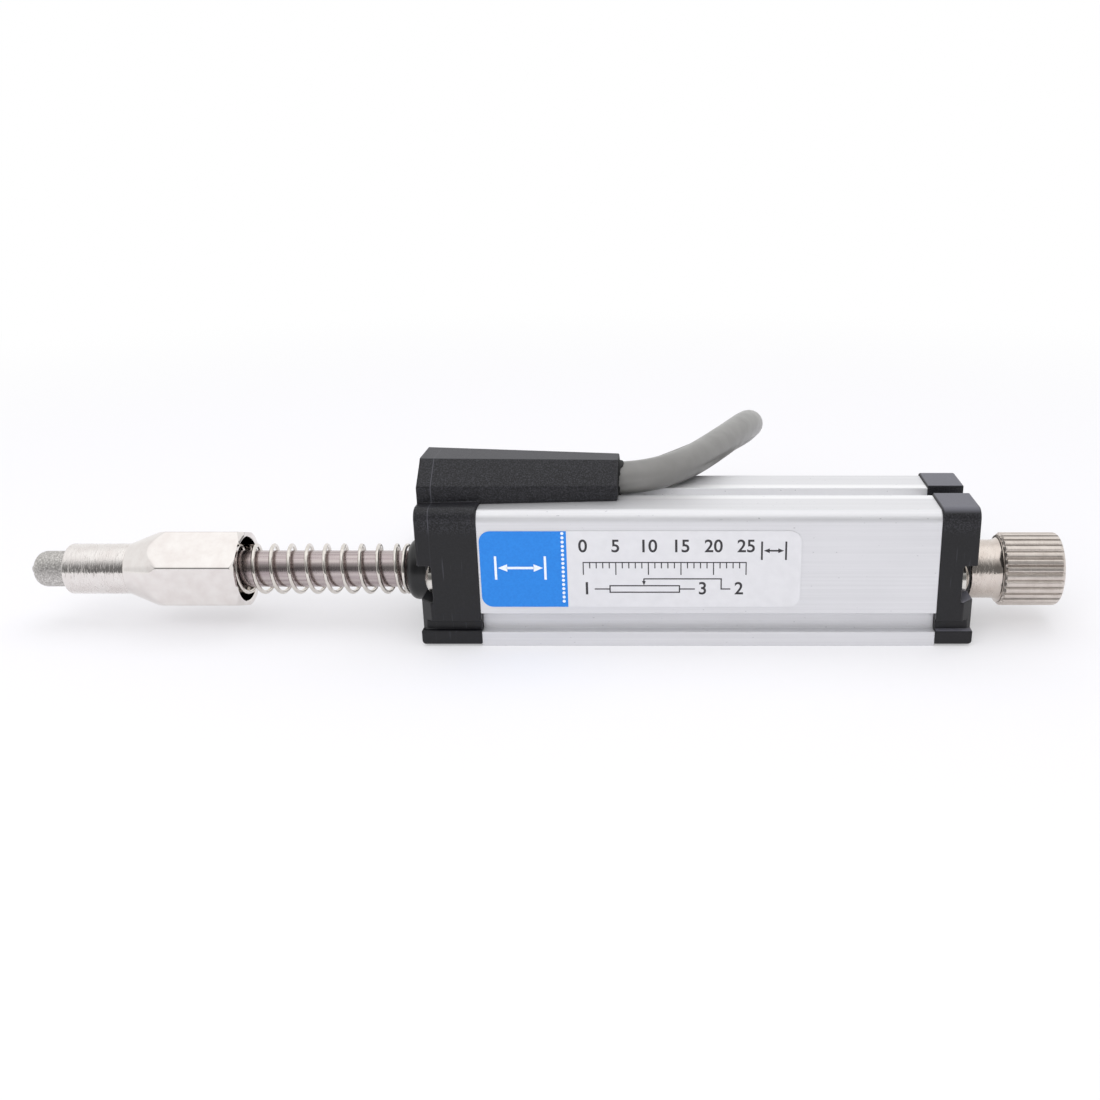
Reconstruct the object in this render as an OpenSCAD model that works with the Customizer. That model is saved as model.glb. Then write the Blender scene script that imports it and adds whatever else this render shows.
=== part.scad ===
// Spring-return linear displacement sensor with a through rod.
// The rod runs along X, tip towards -X. Z is up and z = 0 is the underside of the housing's foot.
// X = 0 is halfway between the contact tip and the knob's end. Lengths are in millimetres.

/* [Housing profile] */
// Width of the housing profile
body_w = 18.5; // [17.5:0.1:24]
// Height of the housing profile
body_h = 18.5; // [18:0.1:24]
// Length of the housing profile
housing_l = 59.6; // [52:0.1:120]
// Height of the foot under the side grooves
foot_h = 2.0; // [1.4:0.1:2.4]
// Height of the side grooves
groove_h = 2.6; // [1.6:0.1:3]
// Depth of the side grooves
groove_d = 1.5; // [0.8:0.1:1.8]
// Radius of the upper long edges
corner_r = 1.5; // [0.5:0.1:2.2]
// Width of the channel along the top
channel_w = 3.4; // [2:0.1:5]
// Depth of the channel along the top
channel_d = 2.0; // [1:0.1:2.4]
// Thickness of the profile's walls
wall_t = 1.5; // [1.2:0.1:1.8]

/* [Travel] */
// Travel of the rod
stroke = 25; // [10:1:28]
// Gap between the nut and the front cap when the rod is pushed in
end_gap = 0.4; // [0.2:0.1:2]
// Gap between the stop collar and the rear bush at rest
stop_gap = 0.1; // [0.05:0.05:0.5]
// Radial running gap of the rod in its bushes and in the carriage
run_gap = 0.05; // [0.02:0.01:0.1]
// Clearance between pieces that are pushed together and stay put
seat_gap = 0.05; // [0.02:0.01:0.1]

/* [Rod] */
// Diameter of the rod
rod_d = 5; // [4:0.1:5.4]
// Depth of the rod's axis below the middle of the housing's height
axis_low = 1.75; // [1.5:0.05:2]
// How far the rod reaches into the bore in front of the nut's cup
rod_front_l = 5.7; // [4:0.1:6]
// How far the rod reaches into the knob
rod_rear_l = 4.3; // [2:0.1:6]

/* [End caps] */
// Length of the front cap
front_cap_l = 7.9; // [7:0.1:12]
// Length of the rear cap
rear_cap_l = 4.9; // [4.5:0.1:9]
// How far the caps stand proud of the profile's sides
cap_side = 0.15; // [0:0.05:0.5]
// How far the caps stand proud of the profile's top
cap_top = 0.35; // [0:0.05:0.6]
// How far the caps stay above the ground
cap_lift = 0.3; // [0.1:0.1:0.8]
// Depth of the groove along the caps' sides
cap_groove_d = 0.8; // [0.4:0.1:1.2]
// Height of the groove along the caps' sides
cap_groove_h = 1.3; // [0.8:0.1:2]
// Depth of the screw notches from the outer end
notch_d = 1.8; // [1.5:0.1:2.5]
// Height of the screw notches
notch_h = 5.0; // [4.4:0.1:6]
// Radius of the upper inner edge of the screw notches
notch_r = 0.4; // [0.1:0.1:1]
// Chamfer of the outer upright corners under the notches
cap_chamfer = 1.5; // [0.5:0.1:2]

/* [Cable hood] */
// How far the hood reaches over the housing
hood_over = 17.9; // [12:0.1:18]
// Half width of the hood at its outer end
hood_half_a = 6.5; // [5.5:0.1:7]
// Half width of the hood at its mouth
hood_half_b = 4.5; // [4:0.1:5.5]
// Half width of the hood's flat top at its outer end
hood_top_a = 3.0; // [2:0.1:4]
// Half width of the hood's flat top at its mouth
hood_top_b = 1.7; // [1:0.1:2.5]
// Height of the hood's upright sides at its outer end, over the housing's top
hood_side_a = 2.5; // [2:0.1:3]
// Height of the hood's upright sides at its mouth, over the housing's top
hood_side_b = 2.0; // [1.6:0.1:3]
// Height of the hood at its outer end, over the housing's top
hood_h_a = 5.4; // [5.2:0.1:7]
// Height of the hood at its mouth, over the housing's top
hood_h_b = 4.85; // [4.8:0.05:6]
// Wall of the hood's outer end
hood_wall = 1.6; // [1.2:0.1:2]
// Length of the solid mouth that holds the cable
mouth_l = 7.5; // [5:0.1:9]

/* [Bushes] */
// Outer diameter of the bushes
bush_d = 8.4; // [7.6:0.1:8.4]
// How far the front bush stands out of the front cap
front_nose_l = 2.9; // [1:0.1:4]
// How far the rear bush stands out of the rear cap
rear_nose_l = 0.5; // [0.2:0.1:1.5]
// Rounding of the front bush's nose
nose_r = 1.2; // [0.3:0.1:1.4]
// Diameter of the bushes' flanges
flange_d = 10; // [9.5:0.1:10]
// Thickness of the bushes' flanges
flange_t = 1.0; // [0.6:0.1:1.5]
// How far the bushes reach into the housing
bush_inside_l = 3.0; // [1:0.1:5]

/* [Probe nut] */
// Width across the flats of the hexagon
hex_af = 10; // [10:0.1:11]
// Length of the hexagon
hex_l = 10.1; // [9:0.1:13]
// Length of the cone between hexagon and collar
cone_l = 5.5; // [4:0.1:8]
// Diameter of the nut's front collar
collar_d = 6.9; // [6:0.1:7.5]
// Length of the nut's front collar
collar_l = 8.3; // [6:0.1:10]
// Inner diameter of the spring cup
cup_d = 8.8; // [8.8:0.05:9]
// Depth of the spring cup
cup_depth = 12; // [10:0.1:12.5]
// How far the hexagon is rolled about the rod
hex_roll = 10; // [0:1:59]

/* [Contact tip] */
// Diameter of the contact tip
tip_d = 4.9; // [4:0.1:5.5]
// Length of the tip without its pip
tip_l = 5.0; // [2.5:0.1:6]
// Edge radius of the tip
tip_r = 1.3; // [0.3:0.1:1.5]
// Diameter of the domed pip in the middle of the tip
pip_d = 1.8; // [0.8:0.1:2]
// Length of the pip
pip_l = 0.6; // [0.2:0.1:0.9]
// Diameter of the tip's stud
stud_d = 2.5; // [2:0.1:3]

/* [Spring] */
// Outer diameter of the spring
spring_d = 7.0; // [6.6:0.1:7.4]
// Diameter of the spring's wire
wire_d = 0.55; // [0.4:0.05:0.7]
// Distance between the open turns at rest
spring_pitch = 2.42; // [2:0.02:3.5]

/* [Rear collar and knob] */
// Diameter of the stop collar
stop_d = 8.0; // [7:0.1:9]
// Length of the stop collar with its flared rim
stop_l = 4.25; // [2.5:0.05:6]
// How far the flared rim stands out, and its length
flare_d = 0.6; // [0.3:0.1:0.9]
// Length of the knob's neck
neck_l = 0.45; // [0.3:0.05:2]
// Diameter of the knob's neck
neck_d = 7.2; // [6.4:0.1:8]
// Diameter of the knob
knob_d = 10; // [9:0.1:13]
// Length of the knob
knob_l = 7.8; // [7:0.1:14]
// Number of grooves round the knob
knob_teeth = 30; // [24:1:48]
// Depth of the knob's grooves
tooth_d = 0.35; // [0.2:0.05:0.45]
// Chamfer at the knob's end
knob_chamfer = 0.8; // [0.5:0.1:1.2]
// Chamfer at the knob's front
knob_front_chamfer = 0.4; // [0.2:0.1:0.8]

/* [Screws] */
// Distance of the screws from the profile's sides
screw_in = 2.55; // [2.4:0.05:2.6]
// Height of the screws over the rod's axis
screw_up = 1.2; // [0.8:0.1:1.5]
// Diameter of the screws' shanks
shank_d = 2.4; // [2:0.1:2.4]
// Diameter of the screws' heads
head_d = 4.0; // [3.6:0.1:4]
// Height of the screws' heads
head_h = 1.35; // [1:0.05:1.5]
// How deep the screws reach into the housing
screw_grip = 5.9; // [3:0.1:9]

/* [Sensing element] */
// Thickness of the element board
board_t = 1.0; // [0.8:0.1:1.2]
// Width of each of the two tracks
track_w = 3.4; // [2:0.1:3.6]
// Thickness of the tracks
track_t = 0.06; // [0.04:0.01:0.1]
// Distance between the solder pins
pin_pitch = 1.9; // [1.5:0.1:2.2]
// Diameter of the solder pins
pin_d = 0.8; // [0.5:0.1:1]
// Diameter of the cores
core_d = 1.1; // [0.8:0.05:1.2]

/* [Carriage] */
// Length of the carriage
carriage_l = 12; // [8:0.1:14]
// Gap between the carriage and the housing's inside
carriage_gap = 0.4; // [0.2:0.1:1]
// Thickness of the carriage's table
table_t = 1.2; // [0.8:0.1:1.4]
// Thickness of the retaining rings
clip_t = 0.6; // [0.4:0.1:0.8]
// Diameter of the retaining rings
clip_d = 7.6; // [6.5:0.1:8]
// Depth of the rod's grooves for the rings
clip_groove = 0.4; // [0.2:0.05:0.6]
// Thickness of the contact fingers
finger_t = 0.15; // [0.1:0.05:0.2]
// Width of the contact fingers
finger_w = 0.7; // [0.4:0.1:0.9]

/* [Label] */
// Length of the label
label_l = 41.4; // [20:0.1:50]
// Height of the label
label_h = 10.4; // [6:0.1:11]
// Thickness of the label
label_t = 0.12; // [0.05:0.01:0.14]
// Corner radius of the label
label_r = 1.5; // [0.3:0.1:3]
// Distance of the label from the housing's front end
label_off = 0.3; // [0:0.1:8]

/* [Cable] */
// Diameter of the cable
cable_d = 4.4; // [3.8:0.1:4.4]
// Height of the cable's axis over the housing's top, inside the hood
cable_up = 1.9; // [1.9:0.05:2.1]
// Wall of the grommet sleeve
grommet_t = 0.3; // [0.2:0.05:0.35]
// How far the grommet stands out of the hood
grommet_out = 0.9; // [0.4:0.1:2]
// Length of the bare cores at the cable's far end
bare_l = 27; // [10:1:27]

/* [Hidden] */

$fn = 72;
eps = 0.01;

// Places along X, from the tip to the knob
front_l = tip_l + pip_l + collar_l + cone_l + hex_l;
rear_l = rear_nose_l + stop_gap + stop_l + neck_l + knob_l;
total_l = front_l + stroke + end_gap + front_cap_l + housing_l + rear_cap_l + rear_l;
x_tip = -total_l / 2;
x_nut = x_tip + pip_l + tip_l;
x_cone = x_nut + collar_l;
x_hex = x_cone + cone_l;
x_cup_mouth = x_hex + hex_l;
x_cup_floor = x_cup_mouth - cup_depth;
x_front = x_cup_mouth + stroke + end_gap;
x_housing = x_front + front_cap_l;
x_rear_cap = x_housing + housing_l;
x_rear = x_rear_cap + rear_cap_l;
x_stop = x_rear + rear_nose_l + stop_gap;
x_neck = x_stop + stop_l;
x_knob = x_neck + neck_l;
x_end = x_knob + knob_l;
x_nose = x_front - front_nose_l;
x_mouth = x_housing + hood_over;

// Heights and half widths of the profile
groove_z = foot_h + groove_h;
axis_h = body_h / 2 - axis_low;
body_half = body_w / 2;
waist_half = body_half - groove_d;
roof_z = body_h - channel_d - wall_t;
cavity_low_half = waist_half - wall_t;
cavity_half = body_half - wall_t;
cavity_step_z = groove_z + wall_t;
floor_z = foot_h + 0.2;
screw_y = body_half - screw_in;
screw_z = axis_h + screw_up;
port_r = shank_d / 2 + seat_gap;
port_wall = 0.85;
ledge_t = 0.8;
ledge_w = 1.1;
board_z = roof_z - seat_gap - board_t;
ledge_z = board_z - ledge_t;

// Heights and half widths of the caps
cap_half = body_half + cap_side;
cap_foot_z = foot_h + 0.2;
cap_groove_z = cap_foot_z + cap_groove_h;
cap_edge_r = 0.5;
notch_z = screw_z - notch_h / 2;
notch_in = screw_y - head_d / 2 - 0.1;
bush_hole_r = bush_d / 2 + seat_gap;

// The hood and the space for the wires below it
hood_z = body_h + seat_gap;
hood_slice = 0.02;
cable_z = body_h + cable_up;
chamber_half = 3.2;
chamber_top = body_h + 3.1;
pocket_half = 5.2;
pocket_low = ledge_z - 0.8;
pocket_top = board_z + board_t + 0.8;
clamp_l = 2.0;
clamp_t = 0.3;
x_chamber = x_front + hood_wall + 0.4;
x_clamp = x_mouth - mouth_l - clamp_l;
x_jacket = x_clamp - 0.6;
cable_r = cable_d / 2;
sleeve_l = 2.0;

// The element board
tongue_half = 4.8;
x_board = x_front + notch_d + 0.8;
x_board_end = x_rear_cap - 2.2;
x_pins = x_board + 2.2;
pin_low = 0.8;
pin_up = 1.5;
track_y = 2.7;

// The carriage in its rest place
x_carriage = (x_housing + x_rear_cap) / 2 - stroke / 2 - carriage_l / 2;
block_half = screw_y - port_r - port_wall - carriage_gap;
table_half = cavity_half - ledge_w - 2.5 * carriage_gap;
table_z = screw_z + port_r + port_wall + 0.3;
strip_z = table_z + table_t;
rod_groove_r = rod_d / 2 - clip_groove;

// The rod
x_rod = x_cup_floor - rod_front_l;
x_rod_end = x_knob + rod_rear_l;
rod_chamfer = 0.4;
stud_l = x_rod - x_nut - 0.6;

// Route of the cable's middle line from the clamp to the hank, chosen by hand:
// distance from the hood's mouth, distance from the middle plane, and height at the usual mouth height
mouth_height = 20.4;
route_points = [
    [-10, 0, 20.4], [-6.5, 0, 20.4], [-3, 0, 20.4], [0, 0, 20.4], [1.5, 0.1, 20.45], [3, 0.5, 20.5],
    [4.4, 1.1, 20.6], [5.7, 1.9, 20.7], [6.8, 2.9, 20.8], [7.8, 4.2, 20.8], [9.1, 6.4, 20.8],
    [10.7, 9.8, 20.8], [12.4, 13.9, 20.8], [14, 18.2, 20.75], [15.5, 22.7, 20.6], [17, 27.6, 20.4],
    [18.3, 32.6, 20], [19.2, 37.6, 19.1], [19.4, 42.8, 17.6], [18.5, 47.8, 15.3], [16.3, 52, 12.8],
    [13, 55.1, 10.4], [8.8, 57, 8.1], [4.2, 57.7, 6.1], [-0.5, 57.7, 4.4], [-5.5, 57.5, 3]];
cable_route = [for (p = route_points) [p[0] + x_mouth, p[1], p[2] * cable_z / mouth_height]];
cable_sides = 10;

// The hank behind the housing: a lower layer of three turns and an upper layer of one and a half
row = cable_d;
hank_xa = x_mouth - 10.75;
hank_xb = x_mouth + 33.5;
hank_front = cap_half + 0.6;
lower_w = 11.25 * row;
inner_w = 5.25 * row;
upper_w = 7.93 * row;
jacket_end = x_mouth + 17.5;
tie_x = x_mouth + 5;
tie_w = 2.5;
tie_t = 0.45;
bare_d = 1.2;

// Unit vector of v
function unit(v) = v / norm(v);

// Direction of a route at its point i
function heading(p, i) = unit(p[min(i + 1, len(p) - 1)] - p[max(i - 1, 0)]);

// Ring of points round point i of a route, square to its direction
function ring(p, i, r, sides, ref) =
    let (t = heading(p, i), n = unit(cross(t, ref)), b = cross(t, n))
    [for (k = [0 : sides - 1]) p[i] + r * (cos(360 * k / sides) * n + sin(360 * k / sides) * b)];

// Closed tube along a route; ref is a direction that the route never takes
module tube(p, r, sides, ref) {
    n = len(p);
    polyhedron(
        points = [for (i = [0 : n - 1]) each ring(p, i, r, sides, ref)],
        faces = concat(
            [[for (k = [0 : sides - 1]) k]],
            [for (i = [0 : n - 2], k = [0 : sides - 1])
                let (a = i * sides + k, b = i * sides + (k + 1) % sides) [a, a + sides, b + sides, b]],
            [[for (k = [sides - 1 : -1 : 0]) (n - 1) * sides + k]]),
        convexity = 10);
}

// Shape drawn in the (Y, Z) plane, pushed along X from x over length l
module section_x(x, l) {
    translate([x, 0, 0]) rotate([90, 0, 90]) linear_extrude(l) children();
}

// Shape turned about Z, laid along the rod's axis with its own z = 0 at x
module on_axis(x) {
    translate([x, 0, axis_h]) rotate([0, 90, 0]) children();
}

// Outline of a profile: half width, height, foot and groove, with round upper edges
module profile_2d(half, top, bottom, foot_top, groove_top, waist, r) {
    translate([-half, bottom]) square([2 * half, foot_top - bottom]);
    translate([-waist, bottom]) square([2 * waist, groove_top - bottom + eps]);
    translate([-half, groove_top]) square([2 * half, top - r - groove_top]);
    translate([-half + r, groove_top]) square([2 * (half - r), top - groove_top]);
    for (side = [-1, 1]) translate([side * (half - r), top - r]) circle(r);
}

// The channel along the top
module channel_2d(top) {
    translate([-channel_w / 2, body_h - channel_d]) square([channel_w, top]);
}

module housing_2d() {
    difference() {
        profile_2d(body_half, body_h, 0, foot_h, groove_z, waist_half, corner_r);
        channel_2d(body_h);
        difference() {
            union() {
                translate([-cavity_low_half, floor_z])
                    square([2 * cavity_low_half, cavity_step_z - floor_z + eps]);
                translate([-cavity_half, cavity_step_z]) square([2 * cavity_half, roof_z - cavity_step_z]);
            }
            for (side = [-1, 1]) {
                translate([side * screw_y, screw_z]) circle(port_r + port_wall);
                translate([side * (cavity_half - ledge_w / 2), ledge_z + ledge_t / 2])
                    square([ledge_w + eps, ledge_t], center = true);
            }
        }
        for (side = [-1, 1]) translate([side * screw_y, screw_z]) circle(port_r);
    }
}

module housing() {
    color("#d9dadd") section_x(x_housing, housing_l) housing_2d();
}

// End cap with its outer end at x = 0 and its inner face at x = l
module cap_block(l) {
    difference() {
        section_x(0, l)
            profile_2d(cap_half, body_h + cap_top, cap_lift, cap_foot_z, cap_groove_z,
                       cap_half - cap_groove_d, corner_r);
        for (side = [0, 1]) mirror([0, side, 0]) {
            screw_notch();
            translate([0, 0, cap_foot_z]) linear_extrude(notch_z - cap_foot_z + eps)
                polygon([[-eps, cap_half - cap_chamfer], [cap_chamfer, cap_half + eps],
                         [-eps, cap_half + eps]]);
            translate([0, screw_y, screw_z]) rotate([0, 90, 0]) cylinder(h = l + eps, r = port_r + 0.15);
        }
        translate([-eps, 0, axis_h]) rotate([0, 90, 0]) cylinder(h = l + 2 * eps, r = bush_hole_r);
        translate([l - flange_t, 0, axis_h]) rotate([0, 90, 0])
            cylinder(h = flange_t + eps, r = flange_d / 2 + seat_gap);
        foot_edge();
    }
}

// Notch for a screw head, open to the side and to the end, with a rounded upper inner edge
module screw_notch() {
    long = cap_half - notch_in + eps;
    translate([-eps, notch_in, notch_z]) cube([notch_d - notch_r + eps, long, notch_h]);
    translate([-eps, notch_in, notch_z]) cube([notch_d + eps, long, notch_h - notch_r]);
    translate([notch_d - notch_r, notch_in, notch_z + notch_h - notch_r]) rotate([-90, 0, 0])
        cylinder(h = long, r = notch_r);
}

// Cutter that rounds the lower outer edge of a cap's foot
module foot_edge() {
    translate([0, -body_w, cap_lift]) difference() {
        translate([-eps, 0, -eps]) cube([cap_edge_r, 2 * body_w, cap_edge_r]);
        translate([cap_edge_r, -eps, cap_edge_r]) rotate([-90, 0, 0])
            cylinder(h = 2 * body_w + 2 * eps, r = cap_edge_r);
    }
}

// House-shaped end of the hood
module hood_end(x, half, top_half, side_h, h) {
    section_x(x, hood_slice)
        polygon([[-half, hood_z], [half, hood_z], [half, body_h + side_h], [top_half, body_h + h],
                 [-top_half, body_h + h], [-half, body_h + side_h]]);
}

module front_cap() {
    color("#2f2f31") difference() {
        union() {
            translate([x_front, 0, 0]) cap_block(front_cap_l);
            hull() {
                hood_end(x_front, hood_half_a, hood_top_a, hood_side_a, hood_h_a);
                hood_end(x_mouth - hood_slice, hood_half_b, hood_top_b, hood_side_b, hood_h_b);
            }
            section_x(x_housing - eps, hood_over + eps)
                translate([-channel_w / 2 + 0.1, body_h - channel_d + 0.1])
                    square([channel_w - 0.2, channel_d]);
        }
        translate([x_chamber, -pocket_half, pocket_low])
            cube([x_housing - x_chamber + eps, 2 * pocket_half, pocket_top - pocket_low]);
        translate([x_chamber, -chamber_half, pocket_top - eps])
            cube([x_clamp - x_chamber, 2 * chamber_half, chamber_top - pocket_top]);
        translate([x_clamp - eps, 0, cable_z]) rotate([0, 90, 0])
            cylinder(h = clamp_l + 2 * eps, r = cable_r + clamp_t + seat_gap);
        translate([x_clamp, 0, cable_z]) rotate([0, 90, 0])
            cylinder(h = x_mouth - x_clamp + eps, r = cable_r + seat_gap);
        translate([x_mouth - sleeve_l, 0, cable_z]) rotate([0, 90, 0])
            cylinder(h = sleeve_l + eps, r = cable_r + grommet_t + seat_gap);
    }
}

module rear_cap() {
    color("#2f2f31") difference() {
        translate([x_rear, 0, 0]) mirror([1, 0, 0]) cap_block(rear_cap_l);
        section_x(x_rear_cap - eps, rear_cap_l + 2 * eps) channel_2d(body_h);
    }
}

// Turned bush: nose end at z = 0, flange from z = seat, end at z = l
module bush(l, seat, round_r) {
    hole_r = rod_d / 2 + run_gap;
    lead = 0.35;
    rotate_extrude() difference() {
        union() {
            translate([0, round_r]) square([bush_d / 2, l - round_r]);
            square([bush_d / 2 - round_r, l]);
            translate([bush_d / 2 - round_r, round_r]) circle(round_r);
            translate([0, seat]) square([flange_d / 2, flange_t]);
        }
        translate([-eps - bush_d, -eps]) square([bush_d + eps + hole_r, l + 2 * eps]);
        polygon([[hole_r - eps, -eps], [hole_r + lead, -eps], [hole_r - eps, lead]]);
    }
}

module front_bush() {
    color("#26262a") on_axis(x_nose)
        bush(x_housing + bush_inside_l - x_nose, x_housing - flange_t - x_nose, nose_r);
}

module rear_bush() {
    color("#26262a") on_axis(x_rear + rear_nose_l) mirror([0, 0, 1])
        bush(rear_nose_l + rear_cap_l + bush_inside_l, rear_nose_l + rear_cap_l - flange_t, rear_nose_l / 2);
}

// Pan head screw with a cross recess: underside of the head at z = 0, shank towards -z
module pan_screw(grip) {
    dome_r = (pow(head_d / 2, 2) + pow(head_h * 0.55, 2)) / (2 * head_h * 0.55);
    recess_w = 0.6;
    recess_l = 2.1;
    recess_d = 0.7;
    difference() {
        union() {
            intersection() {
                cylinder(h = head_h, r = head_d / 2);
                translate([0, 0, head_h - dome_r]) sphere(dome_r);
            }
            translate([0, 0, -grip]) cylinder(h = grip + eps, r = shank_d / 2);
        }
        for (turn = [0, 90]) rotate([0, 0, turn + 20]) translate([0, 0, head_h - recess_d / 2 + eps])
            cube([recess_l, recess_w, recess_d], center = true);
    }
}

module front_screws() {
    color("#c8c8c6") for (side = [-1, 1])
        translate([x_front + notch_d, side * screw_y, screw_z]) rotate([0, -90, 0])
            pan_screw(front_cap_l - notch_d + screw_grip);
}

module rear_screws() {
    color("#c8c8c6") for (side = [-1, 1])
        translate([x_rear - notch_d, side * screw_y, screw_z]) rotate([0, 90, 0])
            pan_screw(rear_cap_l - notch_d + screw_grip);
}

module label() {
    z0 = groove_z + 1;
    color("#c9ccd2") translate([x_housing + label_off, -body_half, z0]) rotate([90, 0, 0])
    linear_extrude(label_t) {
        translate([0, label_r]) square([label_l, label_h - 2 * label_r]);
        translate([label_r, 0]) square([label_l - 2 * label_r, label_h]);
        for (x = [label_r, label_l - label_r], z = [label_r, label_h - label_r])
            translate([x, z]) circle(label_r);
    }
}

module element_board() {
    board_half = cavity_half - 0.1;
    color("#4b5a3a") difference() {
        union() {
            translate([x_board, -tongue_half, board_z])
                cube([x_board_end - x_board, 2 * tongue_half, board_t]);
            translate([x_housing + 0.3, -board_half, board_z])
                cube([x_board_end - x_housing - 0.3, 2 * board_half, board_t]);
            for (side = [-1, 1]) translate([x_board + 4, side * track_y - track_w / 2, board_z - track_t])
                cube([x_board_end - x_board - 6, track_w, track_t + eps]);
        }
        for (k = [-1 : 1]) translate([x_pins, k * pin_pitch, board_z - 1])
            cylinder(h = board_t + 2, r = pin_d / 2 + 0.02);
    }
}

module board_pins() {
    color("#d8c070") for (k = [-1 : 1]) translate([x_pins, k * pin_pitch, board_z - pin_low]) {
        cylinder(h = pin_low + board_t + pin_up, r = pin_d / 2);
        translate([0, 0, pin_low + board_t]) cylinder(h = 0.5, r1 = pin_d, r2 = pin_d / 2);
    }
}

// One core from the cable's end to its pin: level, then down in a bend
function core_path(k) =
    let (y0 = k * core_d * 1.15, y1 = k * pin_pitch, z1 = board_z + board_t + pin_up, r = 2.4,
         x1 = x_pins + r, run = x_jacket - x1)
    concat(
        [for (i = [0 : 4]) [x_jacket - run * i / 5, y0 + (y1 - y0) * i / 5, cable_z]],
        [for (a = [0 : 18 : 90]) [x1 - r * sin(a), y1, cable_z - r + r * cos(a)]],
        [[x_pins, y1, (cable_z - r + z1) / 2], [x_pins, y1, z1]]);

module lead_wires() {
    color("#8a3b2a") for (k = [-1 : 1]) tube(core_path(k), core_d / 2, 8, [0, 1, 0]);
}

// Straight sleeve along X
module sleeve(x, l, r_in, r_out) {
    translate([x, 0, cable_z]) rotate([0, 90, 0]) difference() {
        cylinder(h = l, r = r_out);
        translate([0, 0, -eps]) cylinder(h = l + 2 * eps, r = r_in);
    }
}

module cord_clamp() {
    color("#b0b2b5") sleeve(x_clamp + 0.1, clamp_l - 0.2, cable_r + seat_gap, cable_r + clamp_t);
}

module cable_grommet() {
    color("#1c1c1e")
        sleeve(x_mouth - sleeve_l, sleeve_l + grommet_out, cable_r + seat_gap, cable_r + grommet_t);
}

module cable() {
    color("#7b7a78") tube(cable_route, cable_r, cable_sides, [0, 0, 1]);
}

// Outline with a round end at each end of the hank's runs: front edges fa and fb, widths wa and wb
module ends_2d(fa, wa, fb, wb) {
    polygon([[hank_xa, fa], [hank_xb, fb], [hank_xb, fb + wb], [hank_xa, fa + wa]]);
    translate([hank_xa, fa + wa / 2]) circle(wa / 2);
    translate([hank_xb, fb + wb / 2]) circle(wb / 2);
}

// The upper layer: its front run ends where the bare cores begin
module hank_upper_2d() {
    front = hank_front;
    back = hank_front + upper_w;
    difference() {
        union() {
            polygon([[hank_xa, front], [jacket_end, front], [jacket_end, front + row],
                     [hank_xb, front + row], [hank_xb, back], [hank_xa, back]]);
            translate([hank_xa, (front + back) / 2]) circle(upper_w / 2);
            translate([hank_xb, (front + row + back) / 2]) circle((upper_w - row) / 2);
        }
        polygon([[hank_xa, front + row], [hank_xa + 8, front + row], [hank_xa + 16, front + 3 * row],
                 [hank_xa + 30, front + 3 * row], [hank_xb, front + 2 * row], [hank_xb, back - row],
                 [hank_xa, back - row]]);
        translate([hank_xa, (front + back) / 2]) circle(upper_w / 2 - row);
        translate([hank_xb, (front + row + back) / 2]) circle((upper_w - row) / 2 - row);
    }
}

module cable_hank() {
    inner_f = hank_front + 3 * row;
    color("#7b7a78") difference() {
        union() {
            linear_extrude(row) difference() {
                ends_2d(hank_front, lower_w, hank_front, lower_w - row);
                ends_2d(inner_f, inner_w, inner_f, inner_w);
            }
            translate([0, 0, row - eps]) linear_extrude(row + eps) hank_upper_2d();
        }
        translate([tie_x - tie_w / 2 - 0.1, 0, -eps])
            cube([tie_w + 0.2, inner_f, tie_t + eps]);
    }
}

module hank_tie() {
    w = 3 * row + 2 * tie_t;
    h = 2 * row + tie_t;
    color("#1c1c1e") translate([tie_x - tie_w / 2, hank_front - tie_t, 0]) difference() {
        cube([tie_w, w, h]);
        translate([-eps, tie_t, tie_t]) cube([tie_w + 2 * eps, w - 2 * tie_t, h - 2 * tie_t]);
    }
}

module cable_cores() {
    tinned_l = 6;
    color("#3b5fa0") for (k = [-1 : 1])
        translate([jacket_end, hank_front + row / 2 + k * bare_d * 1.1, row + bare_d / 2])
        rotate([0, 90, 0]) {
            cylinder(h = bare_l - tinned_l, r = bare_d / 2);
            cylinder(h = bare_l, r = bare_d / 4);
        }
}

module wiper_carriage() {
    block_low = axis_h - rod_d / 2 - 0.9;
    stake_r = 0.5;
    color("#e8e6dc") difference() {
        union() {
            section_x(x_carriage, carriage_l) {
                translate([-block_half, block_low]) square([2 * block_half, table_z - block_low + eps]);
                translate([-table_half, table_z]) square([2 * table_half, table_t]);
            }
            for (side = [-1, 1]) translate([x_carriage + carriage_l - 2, side * track_y, strip_z])
                cylinder(h = finger_t + 0.2, r = stake_r);
        }
        on_axis(x_carriage - eps) cylinder(h = carriage_l + 2 * eps, r = rod_d / 2 + run_gap);
    }
}

// Side view of one finger: a strip that leaves the base and bends up to the track
module finger_2d() {
    top = board_z - track_t - 0.05 - strip_z;
    run = carriage_l - 5;
    polygon([[0, 0], [0, finger_t], [-run, top - finger_t], [-run - 0.8, top], [-run - 1.6, top - finger_t],
             [-run - 1.6, top - 2 * finger_t], [-run - 0.8, top - finger_t], [-run, top - 2 * finger_t]]);
}

module wiper_contacts() {
    x_base = x_carriage + carriage_l - 3.4;
    color("#d9c27a") {
        difference() {
            translate([x_base, -track_y - 1.6, strip_z]) cube([2.8, 2 * track_y + 3.2, finger_t]);
            for (side = [-1, 1]) translate([x_carriage + carriage_l - 2, side * track_y, strip_z - eps])
                cylinder(h = 1, r = 0.55);
        }
        for (side = [-1, 1], k = [-1 : 1])
            translate([x_base + eps, side * track_y + k * (finger_w + 0.4) + finger_w / 2, strip_z])
                rotate([90, 0, 0]) linear_extrude(finger_w) finger_2d();
    }
}

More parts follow.
